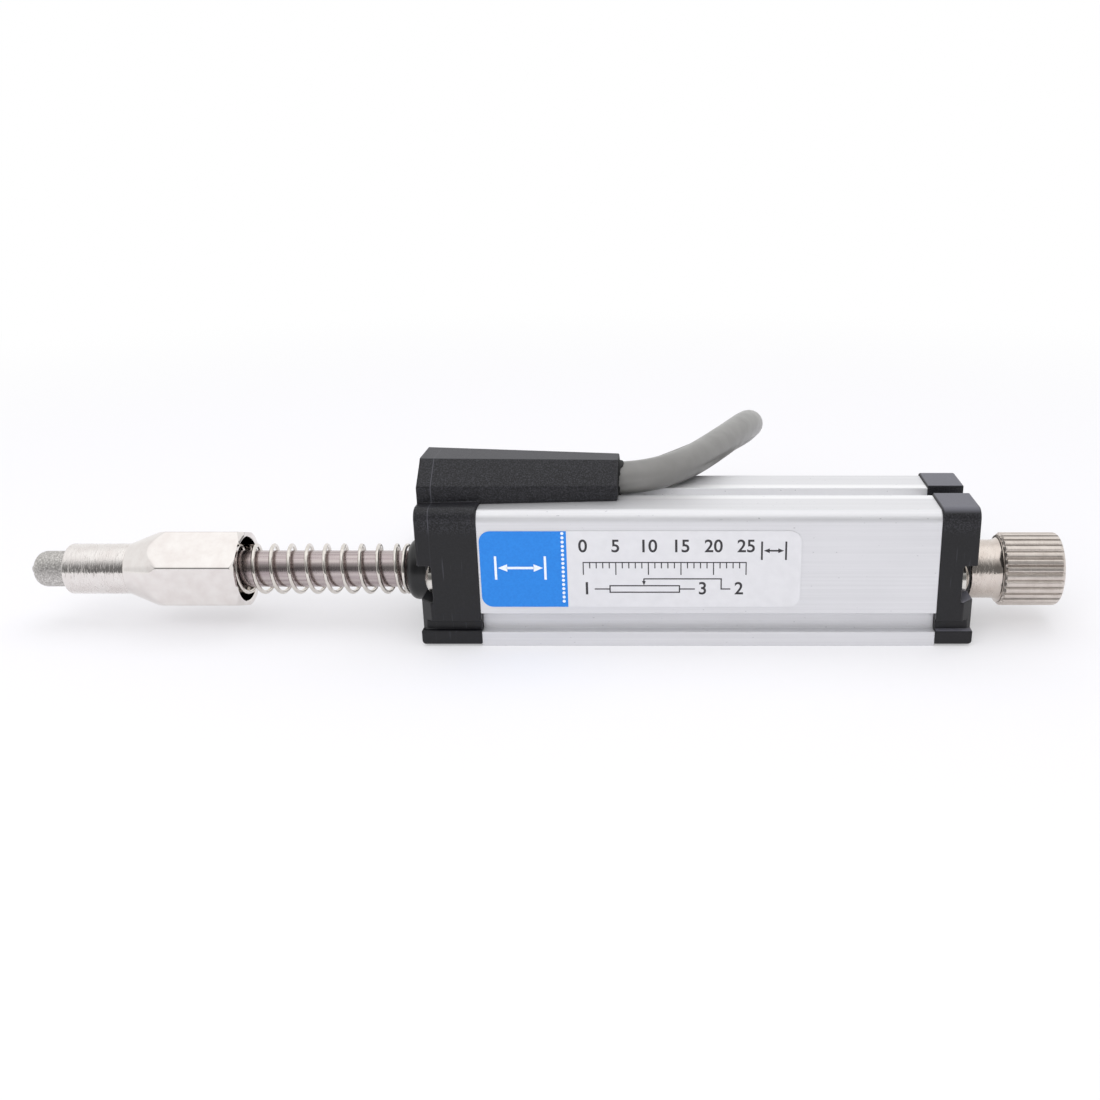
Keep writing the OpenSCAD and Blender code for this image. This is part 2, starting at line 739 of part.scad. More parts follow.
module carriage_clips() {
    color("#9a9c9f") for (x = [x_carriage - clip_t - 0.1, x_carriage + carriage_l + 0.1]) on_axis(x)
        difference() {
            cylinder(h = clip_t, r = clip_d / 2);
            translate([0, 0, -eps]) cylinder(h = clip_t + 2 * eps, r = rod_groove_r + 0.03);
            translate([-rod_groove_r * 0.7, 0, -eps]) cube([rod_groove_r * 1.4, clip_d, clip_t + 2 * eps]);
        }
}

module rod() {
    color("#c3bdb6") difference() {
        on_axis(x_rod) {
            translate([0, 0, rod_chamfer]) cylinder(h = x_rod_end - x_rod - 2 * rod_chamfer, r = rod_d / 2);
            cylinder(h = rod_chamfer, r1 = rod_d / 2 - rod_chamfer, r2 = rod_d / 2);
            translate([0, 0, x_rod_end - x_rod - rod_chamfer])
                cylinder(h = rod_chamfer, r1 = rod_d / 2, r2 = rod_d / 2 - rod_chamfer);
        }
        for (x = [x_carriage - clip_t - 0.15, x_carriage + carriage_l + 0.05]) on_axis(x) difference() {
            cylinder(h = clip_t + 0.1, r = rod_d);
            translate([0, 0, -eps]) cylinder(h = clip_t + 0.1 + 2 * eps, r = rod_groove_r);
        }
    }
}

// Outline that the nut is turned to, radius over distance from its front face
module nut_turned_2d() {
    edge = 0.2;
    corner = hex_af / 2 / cos(30);
    r0 = collar_d / 2;
    end = collar_l + cone_l + hex_l;
    flare = cone_l / (corner - r0 - 0.1);
    rim = 0.8;
    out = corner + 0.2;
    difference() {
        union() {
            translate([0, edge]) square([r0, end - edge]);
            square([r0 - edge, end]);
            translate([r0 - edge, edge]) circle(edge);
            polygon([[0, collar_l], [r0 + 0.1, collar_l], [out, collar_l + flare * (out - r0 - 0.1)],
                     [out, end - rim], [out - rim, end], [0, end]]);
        }
        translate([-collar_d, -eps]) square([collar_d, end + 2 * eps]);
    }
}

module probe_nut() {
    end = collar_l + cone_l + hex_l;
    color("#d5d3cc") on_axis(x_nut) difference() {
        intersection() {
            rotate_extrude() nut_turned_2d();
            rotate([0, 0, hex_roll]) translate([0, 0, -1])
                cylinder(h = end + 2, r = hex_af / 2 / cos(30), $fn = 6);
        }
        translate([0, 0, end - cup_depth]) cylinder(h = cup_depth + eps, r = cup_d / 2);
        translate([0, 0, end - cup_depth - rod_front_l - 0.1])
            cylinder(h = rod_front_l + 0.2, r = rod_d / 2 + seat_gap);
        translate([0, 0, -eps]) cylinder(h = end - cup_depth, r = stud_d / 2 + seat_gap);
    }
}

module contact_tip() {
    r = tip_d / 2;
    dome = (pow(pip_d / 2, 2) + pow(pip_l, 2)) / (2 * pip_l);
    color("#8f8d88") on_axis(x_tip) {
        rotate_extrude() difference() {
            union() {
                translate([0, pip_l + tip_r]) square([r, tip_l - tip_r]);
                translate([0, pip_l]) square([r - tip_r, tip_l]);
                translate([r - tip_r, pip_l + tip_r]) circle(tip_r);
                intersection() {
                    translate([0, dome]) circle(dome);
                    square([pip_d / 2, pip_l + eps]);
                }
            }
            translate([-tip_d, -eps]) square([tip_d, pip_l + tip_l + 2 * eps]);
        }
        translate([0, 0, pip_l + tip_l - eps]) cylinder(h = stud_l + eps, r = stud_d / 2);
    }
}

module stop_collar() {
    edge = 0.2;
    r = stop_d / 2;
    color("#c6bfb6") on_axis(x_stop) rotate_extrude()
        polygon([[rod_d / 2 + seat_gap, 0], [r - edge, 0], [r, edge], [r, stop_l - flare_d],
                 [r + flare_d, stop_l], [rod_d / 2 + seat_gap, stop_l]]);
}

// Star outline of the straight knurl
module knurl_2d() {
    r = knob_d / 2;
    polygon([for (k = [0 : 2 * knob_teeth - 1])
        let (a = 180 * k / knob_teeth, q = r - (k % 2) * tooth_d) [q * cos(a), q * sin(a)]]);
}

module knob() {
    r = knob_d / 2;
    c = knob_chamfer;
    f = knob_front_chamfer;
    color("#c6bfb6") on_axis(x_neck) difference() {
        union() {
            translate([0, 0, neck_l]) intersection() {
                linear_extrude(knob_l) knurl_2d();
                rotate_extrude()
                    polygon([[0, 0], [r - f, 0], [r + 1, f + 1], [r + 1, knob_l - c - 1], [r - c, knob_l],
                             [0, knob_l]]);
            }
            cylinder(h = neck_l + eps, r = neck_d / 2);
        }
        translate([0, 0, -eps]) cylinder(h = neck_l + rod_rear_l + 0.1, r = rod_d / 2 + seat_gap);
    }
}

// Place along the spring after u turns: two turns lie close in the cup and one at the bush
function coil_x(u, turns, l) =
    let (open = (l - 3 * wire_d) / (turns - 3))
    u < 2 ? u * wire_d : u > turns - 1 ? l - (turns - u) * wire_d : 2 * wire_d + (u - 2) * open;

module spring() {
    steps = 16;
    x0 = x_cup_floor + wire_d / 2 + seat_gap;
    l = x_nose - wire_d / 2 - seat_gap - x0;
    turns = 3 + round((l - 3 * wire_d) / spring_pitch);
    r = (spring_d - wire_d) / 2;
    color("#d0cec8") tube(
        [for (i = [0 : turns * steps])
            let (u = i / steps) [x0 + coil_x(u, turns, l), r * cos(360 * u), axis_h + r * sin(360 * u)]],
        wire_d / 2, 6, [1, 0, 0]);
}

housing();
front_cap();
rear_cap();
front_bush();
rear_bush();
front_screws();
rear_screws();
label();
element_board();
board_pins();
lead_wires();
cord_clamp();
cable_grommet();
cable();
cable_hank();
hank_tie();
cable_cores();
wiper_carriage();
wiper_contacts();
carriage_clips();
rod();
probe_nut();
contact_tip();
stop_collar();
knob();
spring();
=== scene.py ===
import math

import bmesh
import bpy
import numpy as np
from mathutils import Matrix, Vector


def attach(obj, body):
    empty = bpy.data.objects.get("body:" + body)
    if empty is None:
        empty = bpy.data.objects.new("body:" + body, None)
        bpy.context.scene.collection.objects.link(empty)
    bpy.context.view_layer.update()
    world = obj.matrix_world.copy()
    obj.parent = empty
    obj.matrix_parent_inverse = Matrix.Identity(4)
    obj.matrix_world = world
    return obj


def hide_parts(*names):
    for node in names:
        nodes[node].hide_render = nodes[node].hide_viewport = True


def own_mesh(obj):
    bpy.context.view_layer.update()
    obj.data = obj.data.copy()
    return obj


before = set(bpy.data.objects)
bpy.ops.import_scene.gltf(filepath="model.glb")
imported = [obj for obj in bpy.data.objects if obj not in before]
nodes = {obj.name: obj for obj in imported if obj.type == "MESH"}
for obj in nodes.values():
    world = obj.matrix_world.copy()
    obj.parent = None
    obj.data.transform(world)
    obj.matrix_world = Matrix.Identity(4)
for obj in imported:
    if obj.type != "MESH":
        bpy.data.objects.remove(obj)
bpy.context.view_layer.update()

mm = 0.001
# Heights of the rod's and the cable's axes, and the radius of the bores that fit the rod, in millimetres.
common = {"rodHeight": 7.5, "cableHeight": 20.4, "bore": 2.52}
print("frame loaded:", len(nodes), "nodes")

# The camera stands where the photograph was taken from, with the picture taken as 1100 by 1100.
# Its place, pitch, lens and shift were fitted to the housing's edges.
cameraSet = {"place": (19.8, -154.8, 64.0), "pitch": -19.229, "lens": 39.284, "shift": (-0.1261, 0.0012)}


def makeCamera(s):
    data = bpy.data.cameras.new("camera")
    data.sensor_width = 36.0
    data.lens = s["lens"]
    data.shift_x, data.shift_y = s["shift"]
    data.clip_start, data.clip_end = 0.005, 20
    shot = bpy.data.objects.new("camera", data)
    shot.location = [v * mm for v in s["place"]]
    shot.rotation_euler = (math.radians(90 + s["pitch"]), 0, 0)
    bpy.context.collection.objects.link(shot)
    bpy.context.scene.camera = shot


makeCamera(cameraSet)


# Shapes: each is a grid of points in millimetres, joined by four-sided faces.
def joinGrid(rows, columns, loopRows=False, loopColumns=True):
    r = np.arange(rows if loopRows else rows - 1)[:, None]
    c = np.arange(columns if loopColumns else columns - 1)[None, :]
    r2, c2 = (r + 1) % rows, (c + 1) % columns
    corners = [r * columns + c, r * columns + c2, r2 * columns + c2, r2 * columns + c]
    return np.stack(np.broadcast_arrays(*corners), -1).reshape(-1, 4)


def makePiece(name, points, faces, material, body, sharp=35):
    # merged where points meet, turned outwards, smooth up to the sharp angle
    mesh = bpy.data.meshes.new(name)
    corners = [[int(k) for k in face] for face in faces]
    mesh.from_pydata((np.asarray(points, float) * mm).tolist(), [], corners)
    work = bmesh.new()
    work.from_mesh(mesh)
    bmesh.ops.remove_doubles(work, verts=work.verts, dist=1e-7)
    bmesh.ops.recalc_face_normals(work, faces=work.faces)
    work.to_mesh(mesh)
    work.free()
    mesh.polygons.foreach_set("use_smooth", np.full(len(mesh.polygons), True))
    mesh.set_sharp_from_angle(angle=math.radians(sharp))
    mesh.materials.append(material)
    piece = bpy.data.objects.new(name, mesh)
    bpy.context.collection.objects.link(piece)
    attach(piece, body)
    return piece


def tubeGrid(path, radius, sides):
    # a circle carried along the path: its plane stays square to the path, turned from one point to the
    # next by the smallest turn, so that the tube doesn't twist
    p = np.asarray(path, float)
    t = np.gradient(p, axis=0)
    t /= np.linalg.norm(t, axis=1)[:, None]
    first = np.cross(t[0], [0.0, 0.3, 1.0])
    side = [first / np.linalg.norm(first)]
    for k in range(1, len(p)):
        v = side[-1] - t[k] * (side[-1] @ t[k])
        side.append(v / np.linalg.norm(v))
    side = np.array(side)
    up = np.cross(t, side)
    a = np.arange(sides) * 2 * np.pi / sides
    r = np.broadcast_to(np.asarray(radius, float), (len(p),))[:, None, None]
    ring = side[:, None, :] * np.cos(a)[None, :, None] + up[:, None, :] * np.sin(a)[None, :, None]
    return (p[:, None, :] + r * ring).reshape(-1, 3)


def makeTube(name, path, radius, sides, material, body):
    # the carried circle, closed by a flat face at each end
    n = len(path)
    faces = joinGrid(n, sides).tolist()
    faces += [list(range(sides)), list(range((n - 1) * sides, n * sides))]
    return makePiece(name, tubeGrid(path, radius, sides), faces, material, body)


def rounded(outline, radii, steps=4):
    # an open outline with each inner corner replaced by an arc of its radius that touches both sides
    out = [outline[0]]
    for k in range(1, len(outline) - 1):
        p, r = np.array(outline[k], float), radii[k]
        a, b = np.array(outline[k - 1]) - p, np.array(outline[k + 1]) - p
        la, lb = np.linalg.norm(a), np.linalg.norm(b)
        a, b = a / la, b / lb
        half = math.acos(max(-1, min(1, float(a @ b)))) / 2
        cut = min(r / math.tan(half), 0.45 * la, 0.45 * lb) if r > 0 else 0
        if cut < 1e-4:
            out.append(tuple(p))
            continue
        r = cut * math.tan(half)
        middle = (a + b) / np.linalg.norm(a + b)
        centre = p + middle * (r / math.sin(half))
        start, end = p + a * cut - centre, p + b * cut - centre
        for t in np.linspace(0, 1, steps + 1):
            v = start * (1 - t) + end * t
            out.append(tuple(centre + v / np.linalg.norm(v) * r))
    out.append(outline[-1])
    return np.array(out, float)


def makeTurned(name, outline, material, body, sides=72, shape=None, closed=False, sharp=35):
    # the outline, as (place along X, radius), carried round the rod's axis; a shape gives its own angles
    # and a function that changes the radius round the turn
    x, r = np.asarray(outline, float).T
    a = np.arange(sides) * 2 * np.pi / sides if shape is None else shape["angles"]
    radius = np.broadcast_to(r[:, None], (len(r), len(a)))
    if shape is not None:
        radius = shape["radius"](x[:, None], radius, a[None, :])
    points = np.stack([np.broadcast_to(x[:, None], radius.shape), -radius * np.sin(a)[None, :],
                       common["rodHeight"] + radius * np.cos(a)[None, :]], -1).reshape(-1, 3)
    return makePiece(name, points, joinGrid(len(x), len(a), closed), material, body, sharp)


def evenly(curve, step, rounds=3):
    # points a step apart along the curve, each then averaged with its neighbours
    keep = np.r_[True, np.linalg.norm(np.diff(curve, axis=0), axis=1) > 1e-6]
    curve = curve[keep]
    run = np.r_[0, np.cumsum(np.linalg.norm(np.diff(curve, axis=0), axis=1))]
    at = np.linspace(0, run[-1], int(run[-1] / step) + 2)
    out = np.stack([np.interp(at, run, curve[:, k]) for k in range(3)], 1)
    for _ in range(rounds):
        out[1:-1] = (out[:-2] + 2 * out[1:-1] + out[2:]) / 4
    return out


def smoothPath(points, step, rounds=3):
    # a curve through the given points, each stretch a cubic set by its four nearest points
    p = np.asarray(points, float)
    q = np.vstack([2 * p[0] - p[1], p, 2 * p[-1] - p[-2]])
    t = np.linspace(0, 1, 24, endpoint=False)[:, None, None]
    a, b, c, d = q[:-3], q[1:-2], q[2:-1], q[3:]
    curve = 2 * b + (c - a) * t + (2 * a - 5 * b + 4 * c - d) * t ** 2 + (3 * b - a - 3 * c + d) * t ** 3
    curve = 0.5 * curve
    return evenly(np.vstack([curve.transpose(1, 0, 2).reshape(-1, 3), p[-1]]), step, rounds)


# Materials: one function adds a node with its settings and links.
def linear(code):
    # sRGB hex to linear values, with full alpha
    parts = [int(code[k:k + 2], 16) / 255 for k in (1, 3, 5)]
    return [c / 12.92 if c <= 0.04045 else ((c + 0.055) / 1.055) ** 2.4 for c in parts] + [1.0]


def addNode(tree, kind, settings=None, inputs=None, stops=None):
    # inputs are values or (node, output) pairs; stops are (place, hex colour) pairs of a colour ramp
    made = tree.nodes.new("ShaderNode" + kind)
    for key, value in (settings or {}).items():
        setattr(made, key, value)
    for key, value in (inputs or {}).items():
        if isinstance(value, tuple) and hasattr(value[0], "outputs"):
            tree.links.new(value[0].outputs[value[1]], made.inputs[key])
        else:
            made.inputs[key].default_value = value
    if stops:
        while len(made.color_ramp.elements) < len(stops):
            made.color_ramp.elements.new(0.5)
        for element, (place, colour) in zip(made.color_ramp.elements, stops):
            element.position = place
            element.color = linear(colour)
    return made


def startFinish(name, metallic=0.0, grains=None, constants=None):
    # a new finish with its node tree, its shader, the object's own coordinates in metres and its noises;
    # each noise is given as the size of its grains in millimetres along X, Y and Z, and its detail
    material = bpy.data.materials.new(name)
    material.use_nodes = True
    tree = material.node_tree
    shader = tree.nodes["Principled BSDF"]
    shader.inputs["Metallic"].default_value = metallic
    for key, value in (constants or {}).items():
        shader.inputs[key].default_value = value
    place = addNode(tree, "TexCoord")
    noise = {}
    for key, (size, detail) in (grains or {}).items():
        scale = [1 / (s * mm) for s in size]
        scaled = addNode(tree, "Mapping", inputs={"Vector": (place, "Object"), "Scale": scale})
        noise[key] = addNode(tree, "TexNoise", inputs={"Vector": (scaled, 0), "Scale": 1.0, "Detail": detail})
    return material, tree, shader, place, noise


def joinFinish(tree, shader, colour, rough, height, depth):
    # colour, roughness and relief go to the shader; the relief's depth is in millimetres
    tree.links.new(colour[0].outputs[colour[1]], shader.inputs["Base Color"])
    tree.links.new(rough[0].outputs[rough[1]], shader.inputs["Roughness"])
    bump = addNode(tree, "Bump", inputs={"Height": height, "Strength": 1.0, "Distance": depth * mm})
    tree.links.new(bump.outputs[0], shader.inputs["Normal"])


def plainGrain(name, size, colours, rough, metallic=0.0, depth=0.003):
    # a finish whose colour, roughness and relief follow one fine grain
    material, tree, shader, place, noise = startFinish(name, metallic, {"grain": (size, 2.0)})
    grain = noise["grain"]
    colour = addNode(tree, "ValToRGB", inputs={"Fac": (grain, 0)},
                     stops=[(0.35, colours[0]), (0.65, colours[1])])
    spread = addNode(tree, "MapRange", inputs={"Value": (grain, 0), "From Min": 0.3, "From Max": 0.7,
                                               "To Min": rough[0], "To Max": rough[1]})
    joinFinish(tree, shader, (colour, 0), (spread, 0), (grain, 0), depth)
    return material


def anodisedAluminium():
    # Extruded and clear anodised: pale satin grey, with fine lines along the pull of the die, soft
    # smudges where it was handled and a few faint dark specks
    material, tree, shader, place, noise = startFinish("anodised aluminium", 0.58, {
        "lines": ((45, 0.3, 0.3), 3.0), "smudge": ((9, 5, 4), 2.0), "specks": ((0.5, 0.22, 0.22), 0.0)})
    base = addNode(tree, "ValToRGB", inputs={"Fac": (noise["lines"], 0)},
                   stops=[(0.3, "#dadadd"), (0.7, "#e1e1e4")])
    # the channel between the two lobes is painted paler: painted light that lifts the shade falling into it
    where = addNode(tree, "SeparateXYZ", inputs={0: (place, "Object")})
    across = addNode(tree, "Math", {"operation": "ABSOLUTE"}, {0: (where, 1)})
    channel = addNode(tree, "MapRange", inputs={"Value": (across, 0), "From Min": 3.0 * mm,
                                                "From Max": 3.6 * mm, "To Min": 1.0, "To Max": 0.0})
    paintedChannelLight = addNode(tree, "Mix", {"data_type": "RGBA"},
                    {"Factor": (channel, 0), 6: (base, 0), 7: linear("#f2f2f4")})
    spot = addNode(tree, "ValToRGB", inputs={"Fac": (noise["specks"], 0)},
                   stops=[(0.15, "#b4b4b8"), (0.19, "#ffffff")])
    both = addNode(tree, "Mix", {"data_type": "RGBA", "blend_type": "MULTIPLY"},
                   {"Factor": 0.5, 6: (paintedChannelLight, 2), 7: (spot, 0)})
    spread = addNode(tree, "MapRange", inputs={"Value": (noise["smudge"], 0), "From Min": 0.35,
                                               "From Max": 0.65, "To Min": 0.4, "To Max": 0.47})
    joinFinish(tree, shader, (both, 2), (spread, 0), (noise["lines"], 0), 0.0035)
    return material


def mouldedAbs():
    # Injection moulded: black. The upper half was spark eroded in the mould; the glitter of that texture is
    # painted as pale specks, drawn coarser than the real ones so that they show; the lower half is smoother,
    # with a few upright scuffs; the tops are painted paler for the light from above, and are dusty
    material, tree, shader, place, noise = startFinish("moulded ABS", 0.0, {
        "grain": ((0.15, 0.15, 0.15), 3.0), "glint": ((0.17, 0.17, 0.17), 5.0),
        "scuff": ((0.25, 0.25, 5), 1.0)}, {"Specular IOR Level": 0.43})
    where = addNode(tree, "SeparateXYZ", inputs={0: (place, "Object")})
    facing = addNode(tree, "SeparateXYZ", inputs={0: (place, "Normal")})
    upper = addNode(tree, "MapRange", {"interpolation_type": "SMOOTHSTEP"},
                    {"Value": (where, 2), "From Min": 15.2 * mm, "From Max": 16.6 * mm,
                     "To Min": 0.12, "To Max": 1.0})
    # painted glints: pale specks in the colour where the spark eroded texture catches light
    paintedGlints = addNode(tree, "MapRange", inputs={"Value": (noise["glint"], 0), "From Min": 0.44,
                                               "From Max": 0.72, "To Max": 0.28})
    paintedGlintsShown = addNode(tree, "Math", {"operation": "MULTIPLY"}, {0: (paintedGlints, 0), 1: (upper, 0)})
    # the faint ridge where two parts of the mould met, round the hood and the cap, has no relief: the light
    # it catches is painted as a pale line
    off = addNode(tree, "Math", {"operation": "ADD"}, {0: (where, 0), 1: 13.45 * mm})
    near = addNode(tree, "Math", {"operation": "ABSOLUTE"}, {0: (off, 0)})
    ridge = addNode(tree, "MapRange", inputs={"Value": (near, 0), "From Min": 0.02 * mm,
                                              "From Max": 0.09 * mm, "To Min": 0.5, "To Max": 0.0})
    paintedRidgeHighlight = addNode(tree, "Math", {"operation": "MULTIPLY"}, {0: (ridge, 0), 1: (upper, 0)})
    scuffs = addNode(tree, "MapRange", inputs={"Value": (noise["scuff"], 0), "From Min": 0.7,
                                               "From Max": 0.78, "To Max": 0.2})
    # painted paler where it faces up, for the light from above and for being dusty: the rear cap's top and,
    # less, the hood's
    topside = addNode(tree, "MapRange", inputs={"Value": (facing, 2), "From Min": 0.6, "From Max": 0.98})
    rearEnd = addNode(tree, "MapRange", inputs={"Value": (where, 0), "From Min": 40 * mm,
                                                "From Max": 50 * mm})
    topLightAndDust = addNode(tree, "Math", {"operation": "MULTIPLY"}, {0: (topside, 0), 1: (rearEnd, 0)})
    # the hood's top facet, painted paler for the light from above and for being dusty
    slope = addNode(tree, "MapRange", inputs={"Value": (facing, 2), "From Min": 0.85, "From Max": 0.97,
                                              "To Max": 0.24})
    high = addNode(tree, "MapRange", inputs={"Value": (where, 2), "From Min": 20.0 * mm,
                                             "From Max": 20.4 * mm})
    hoodTopLightAndDust = addNode(tree, "Math", {"operation": "MULTIPLY"}, {0: (slope, 0), 1: (high, 0)})
    # the palest of these marks shows: painted glints, the ridge's painted highlight, scuffs, and the tops'
    # painted light and dustiness
    marksAndPaintedLight = paintedGlintsShown
    for mark in (paintedRidgeHighlight, scuffs, topLightAndDust, hoodTopLightAndDust):
        marksAndPaintedLight = addNode(tree, "Math", {"operation": "MAXIMUM"}, {0: (marksAndPaintedLight, 0), 1: (mark, 0)})
    colour = addNode(tree, "ValToRGB", inputs={"Fac": (marksAndPaintedLight, 0)}, stops=[(0.0, "#0c0c10"), (1.0, "#62626b")])
    spread = addNode(tree, "MapRange", inputs={"Value": (upper, 0), "From Min": 0.12,
                                               "To Min": 0.4, "To Max": 0.52})
    rise = addNode(tree, "Math", {"operation": "MULTIPLY"}, {0: (noise["grain"], 0), 1: (upper, 0)})
    joinFinish(tree, shader, (colour, 0), (spread, 0), (rise, 0), 0.035)
    return material


def turnedNickel(name, marksFrom, marksTo, colours, rough):
    # Turned, then plated with nickel: warm white and nearly a mirror. The tool left rings round the
    # axis between the two places along X: short upright streaks, some bright and some dull, drawn
    # coarser than the real ones so that they show
    material, tree, shader, place, noise = startFinish(name, 1.0, {
        "rings": ((0.15, 0.9, 0.9), 3.0), "cloud": ((1.6, 1.6, 1.6), 2.0)})
    where = addNode(tree, "SeparateXYZ", inputs={0: (place, "Object")})
    inside = addNode(tree, "MapRange", inputs={"Value": (where, 0), "From Min": (marksTo - 0.1) * mm,
                                               "From Max": marksTo * mm, "To Min": 1.0, "To Max": 0.05})
    before = addNode(tree, "MapRange", inputs={"Value": (where, 0), "From Min": (marksFrom - 0.1) * mm,
                                               "From Max": marksFrom * mm, "To Min": 0.05, "To Max": 1.0})
    depth = addNode(tree, "Math", {"operation": "MULTIPLY"}, {0: (inside, 0), 1: (before, 0)})
    rise = addNode(tree, "Math", {"operation": "MULTIPLY"}, {0: (noise["rings"], 0), 1: (depth, 0)})
    streak = addNode(tree, "MapRange", inputs={"Value": (noise["rings"], 0), "From Min": 0.52,
                                               "From Max": 0.64})
    dull = addNode(tree, "Math", {"operation": "MULTIPLY"}, {0: (streak, 0), 1: (depth, 0)})
    colour = addNode(tree, "ValToRGB", inputs={"Fac": (noise["cloud"], 0)},
                     stops=[(0.3, colours[0]), (0.7, colours[1])])
    spread = addNode(tree, "MapRange", inputs={"Value": (dull, 0), "To Min": rough[0], "To Max": rough[1]})
    joinFinish(tree, shader, (colour, 0), (spread, 0), (rise, 0), 0.055)
    return material


def blastedSteel():
    # Hardened and grit blasted: mid grey, rough as sandpaper, with bright facets here and there
    material, tree, shader, place, noise = startFinish("blasted steel", 1.0, {
        "grit": ((0.24, 0.24, 0.24), 4.0)})
    grit = noise["grit"]
    colour = addNode(tree, "ValToRGB", inputs={"Fac": (grit, 0)},
                     stops=[(0.3, "#a19e9b"), (0.5, "#c4c1be"), (0.7, "#eae8e5")])
    spread = addNode(tree, "MapRange", inputs={"Value": (grit, 0), "To Min": 0.4, "To Max": 0.64})
    joinFinish(tree, shader, (colour, 0), (spread, 0), (grit, 0), 0.09)
    return material


def groundSteel():
    # Ground stainless steel: grey with a pink cast, fine rings round the rod and faint long streaks
    material, tree, shader, place, noise = startFinish("ground stainless steel", 1.0, {
        "rings": ((0.09, 1.5, 1.5), 2.0), "streaks": ((14, 0.35, 0.35), 2.0)})
    colour = addNode(tree, "ValToRGB", inputs={"Fac": (noise["streaks"], 0)},
                     stops=[(0.3, "#a5989a"), (0.7, "#c6bcba")])
    spread = addNode(tree, "MapRange", inputs={"Value": (noise["rings"], 0), "To Min": 0.16, "To Max": 0.34})
    joinFinish(tree, shader, (colour, 0), (spread, 0), (noise["rings"], 0), 0.004)
    return material


def makeFinishes():
    ink = ((0.25, 0.25, 0.25), (0.42, 0.5))
    grained = {
        # Turned acetal: black, smooth and slightly waxy
        "acetal": ("black acetal", (0.5, 2, 2), ("#0d0d0f", "#131315"), (0.28, 0.36)),
        # Hard drawn wire, bright and smooth
        "wire": ("drawn spring wire", (0.6, 0.6, 0.6), ("#d6d0ca", "#e2ddd7"), (0.07, 0.12), 1.0),
        # Zinc plated steel: bright with a faint cloudiness
        "zinc": ("zinc plated steel", (1.2, 1.2, 1.2), ("#d3d0ca", "#dedbd6"), (0.2, 0.26), 1.0, 0.001),
        # Extruded soft PVC: an even warm grey with a dull sheen
        "jacket": ("grey PVC jacket", (2.2, 2.2, 2.2), ("#807f7d", "#7b7a78"), (0.28, 0.34), 0.0, 0.004),
        # Synthetic rubber: black and matt
        "rubber": ("black rubber", (0.4, 0.4, 0.4), ("#111112", "#181819"), (0.55, 0.7), 0.0, 0.01),
        # Polyester film: silver white and satin
        "film": ("polyester film", (1.2, 1.2, 1.2), ("#dfdfe2", "#dcdcdf"), (0.34, 0.42), 0.25, 0.001),
        # Screen printing inks: even colour, a little duller than the film
        "blueInk": ("blue printing ink", ink[0], ("#107bd8", "#1a83de"), ink[1], 0.0, 0.001),
        "whiteInk": ("white printing ink", ink[0], ("#edf3fb", "#e4ecf8"), ink[1], 0.0, 0.001),
        "darkInk": ("dark printing ink", ink[0], ("#2a282b", "#343136"), ink[1], 0.0, 0.001),
        # Glass fibre laminate: dull green with the weave just showing
        "laminate": ("glass fibre laminate", (0.5, 0.5, 0.5), ("#4a5a39", "#566645"), (0.4, 0.5)),
        # Rolled spring brass: warm yellow and bright
        "brass": ("bright brass", (0.4, 0.4, 0.4), ("#d8b968", "#c8a858"), (0.2, 0.3), 1.0),
        # Moulded acetal without pigment: creamy white
        "naturalAcetal": ("natural acetal", (1, 1, 1), ("#ece9de", "#e4e1d4"), (0.4, 0.5)),
        # Extruded PVC insulation: plain colours with a soft sheen
        "redPvc": ("red PVC insulation", (1, 1, 1), ("#a82a22", "#9c241e"), (0.35, 0.45)),
        "whitePvc": ("white PVC insulation", (1, 1, 1), ("#e4e2dc", "#dad8d0"), (0.35, 0.45)),
        "yellowPvc": ("yellow PVC insulation", (1, 1, 1), ("#d8b020", "#cca41c"), (0.35, 0.45)),
        # Tinned copper strands: soft grey metal with twist marks
        "tinned": ("tinned copper", (0.2, 0.2, 0.2), ("#cfcfcd", "#b4b4b2"), (0.25, 0.4), 1.0, 0.02),
    }
    made = {kind: plainGrain(*values) for kind, values in grained.items()}
    made.update({
        "aluminium": anodisedAluminium(), "abs": mouldedAbs(), "tip": blastedSteel(), "rod": groundSteel(),
        # bright on the nut, warmer on the collar, dull and warm on the knob
        "nut": turnedNickel("bright nickel plate", -64.6, -56.3, ("#e0dad7", "#e8e4e1"), (0.04, 0.5)),
        "collar": turnedNickel("nickel plate over turned steel", 57.7, 61.1, ("#cfc4bc", "#ddd4cc"),
                               (0.13, 0.34)),
        "knob": turnedNickel("satin nickel plate", 62.0, 70.5, ("#d0c7c0", "#dcd4cd"), (0.34, 0.5)),
    })
    return made


finish = makeFinishes()
print("materials made:", len(finish))

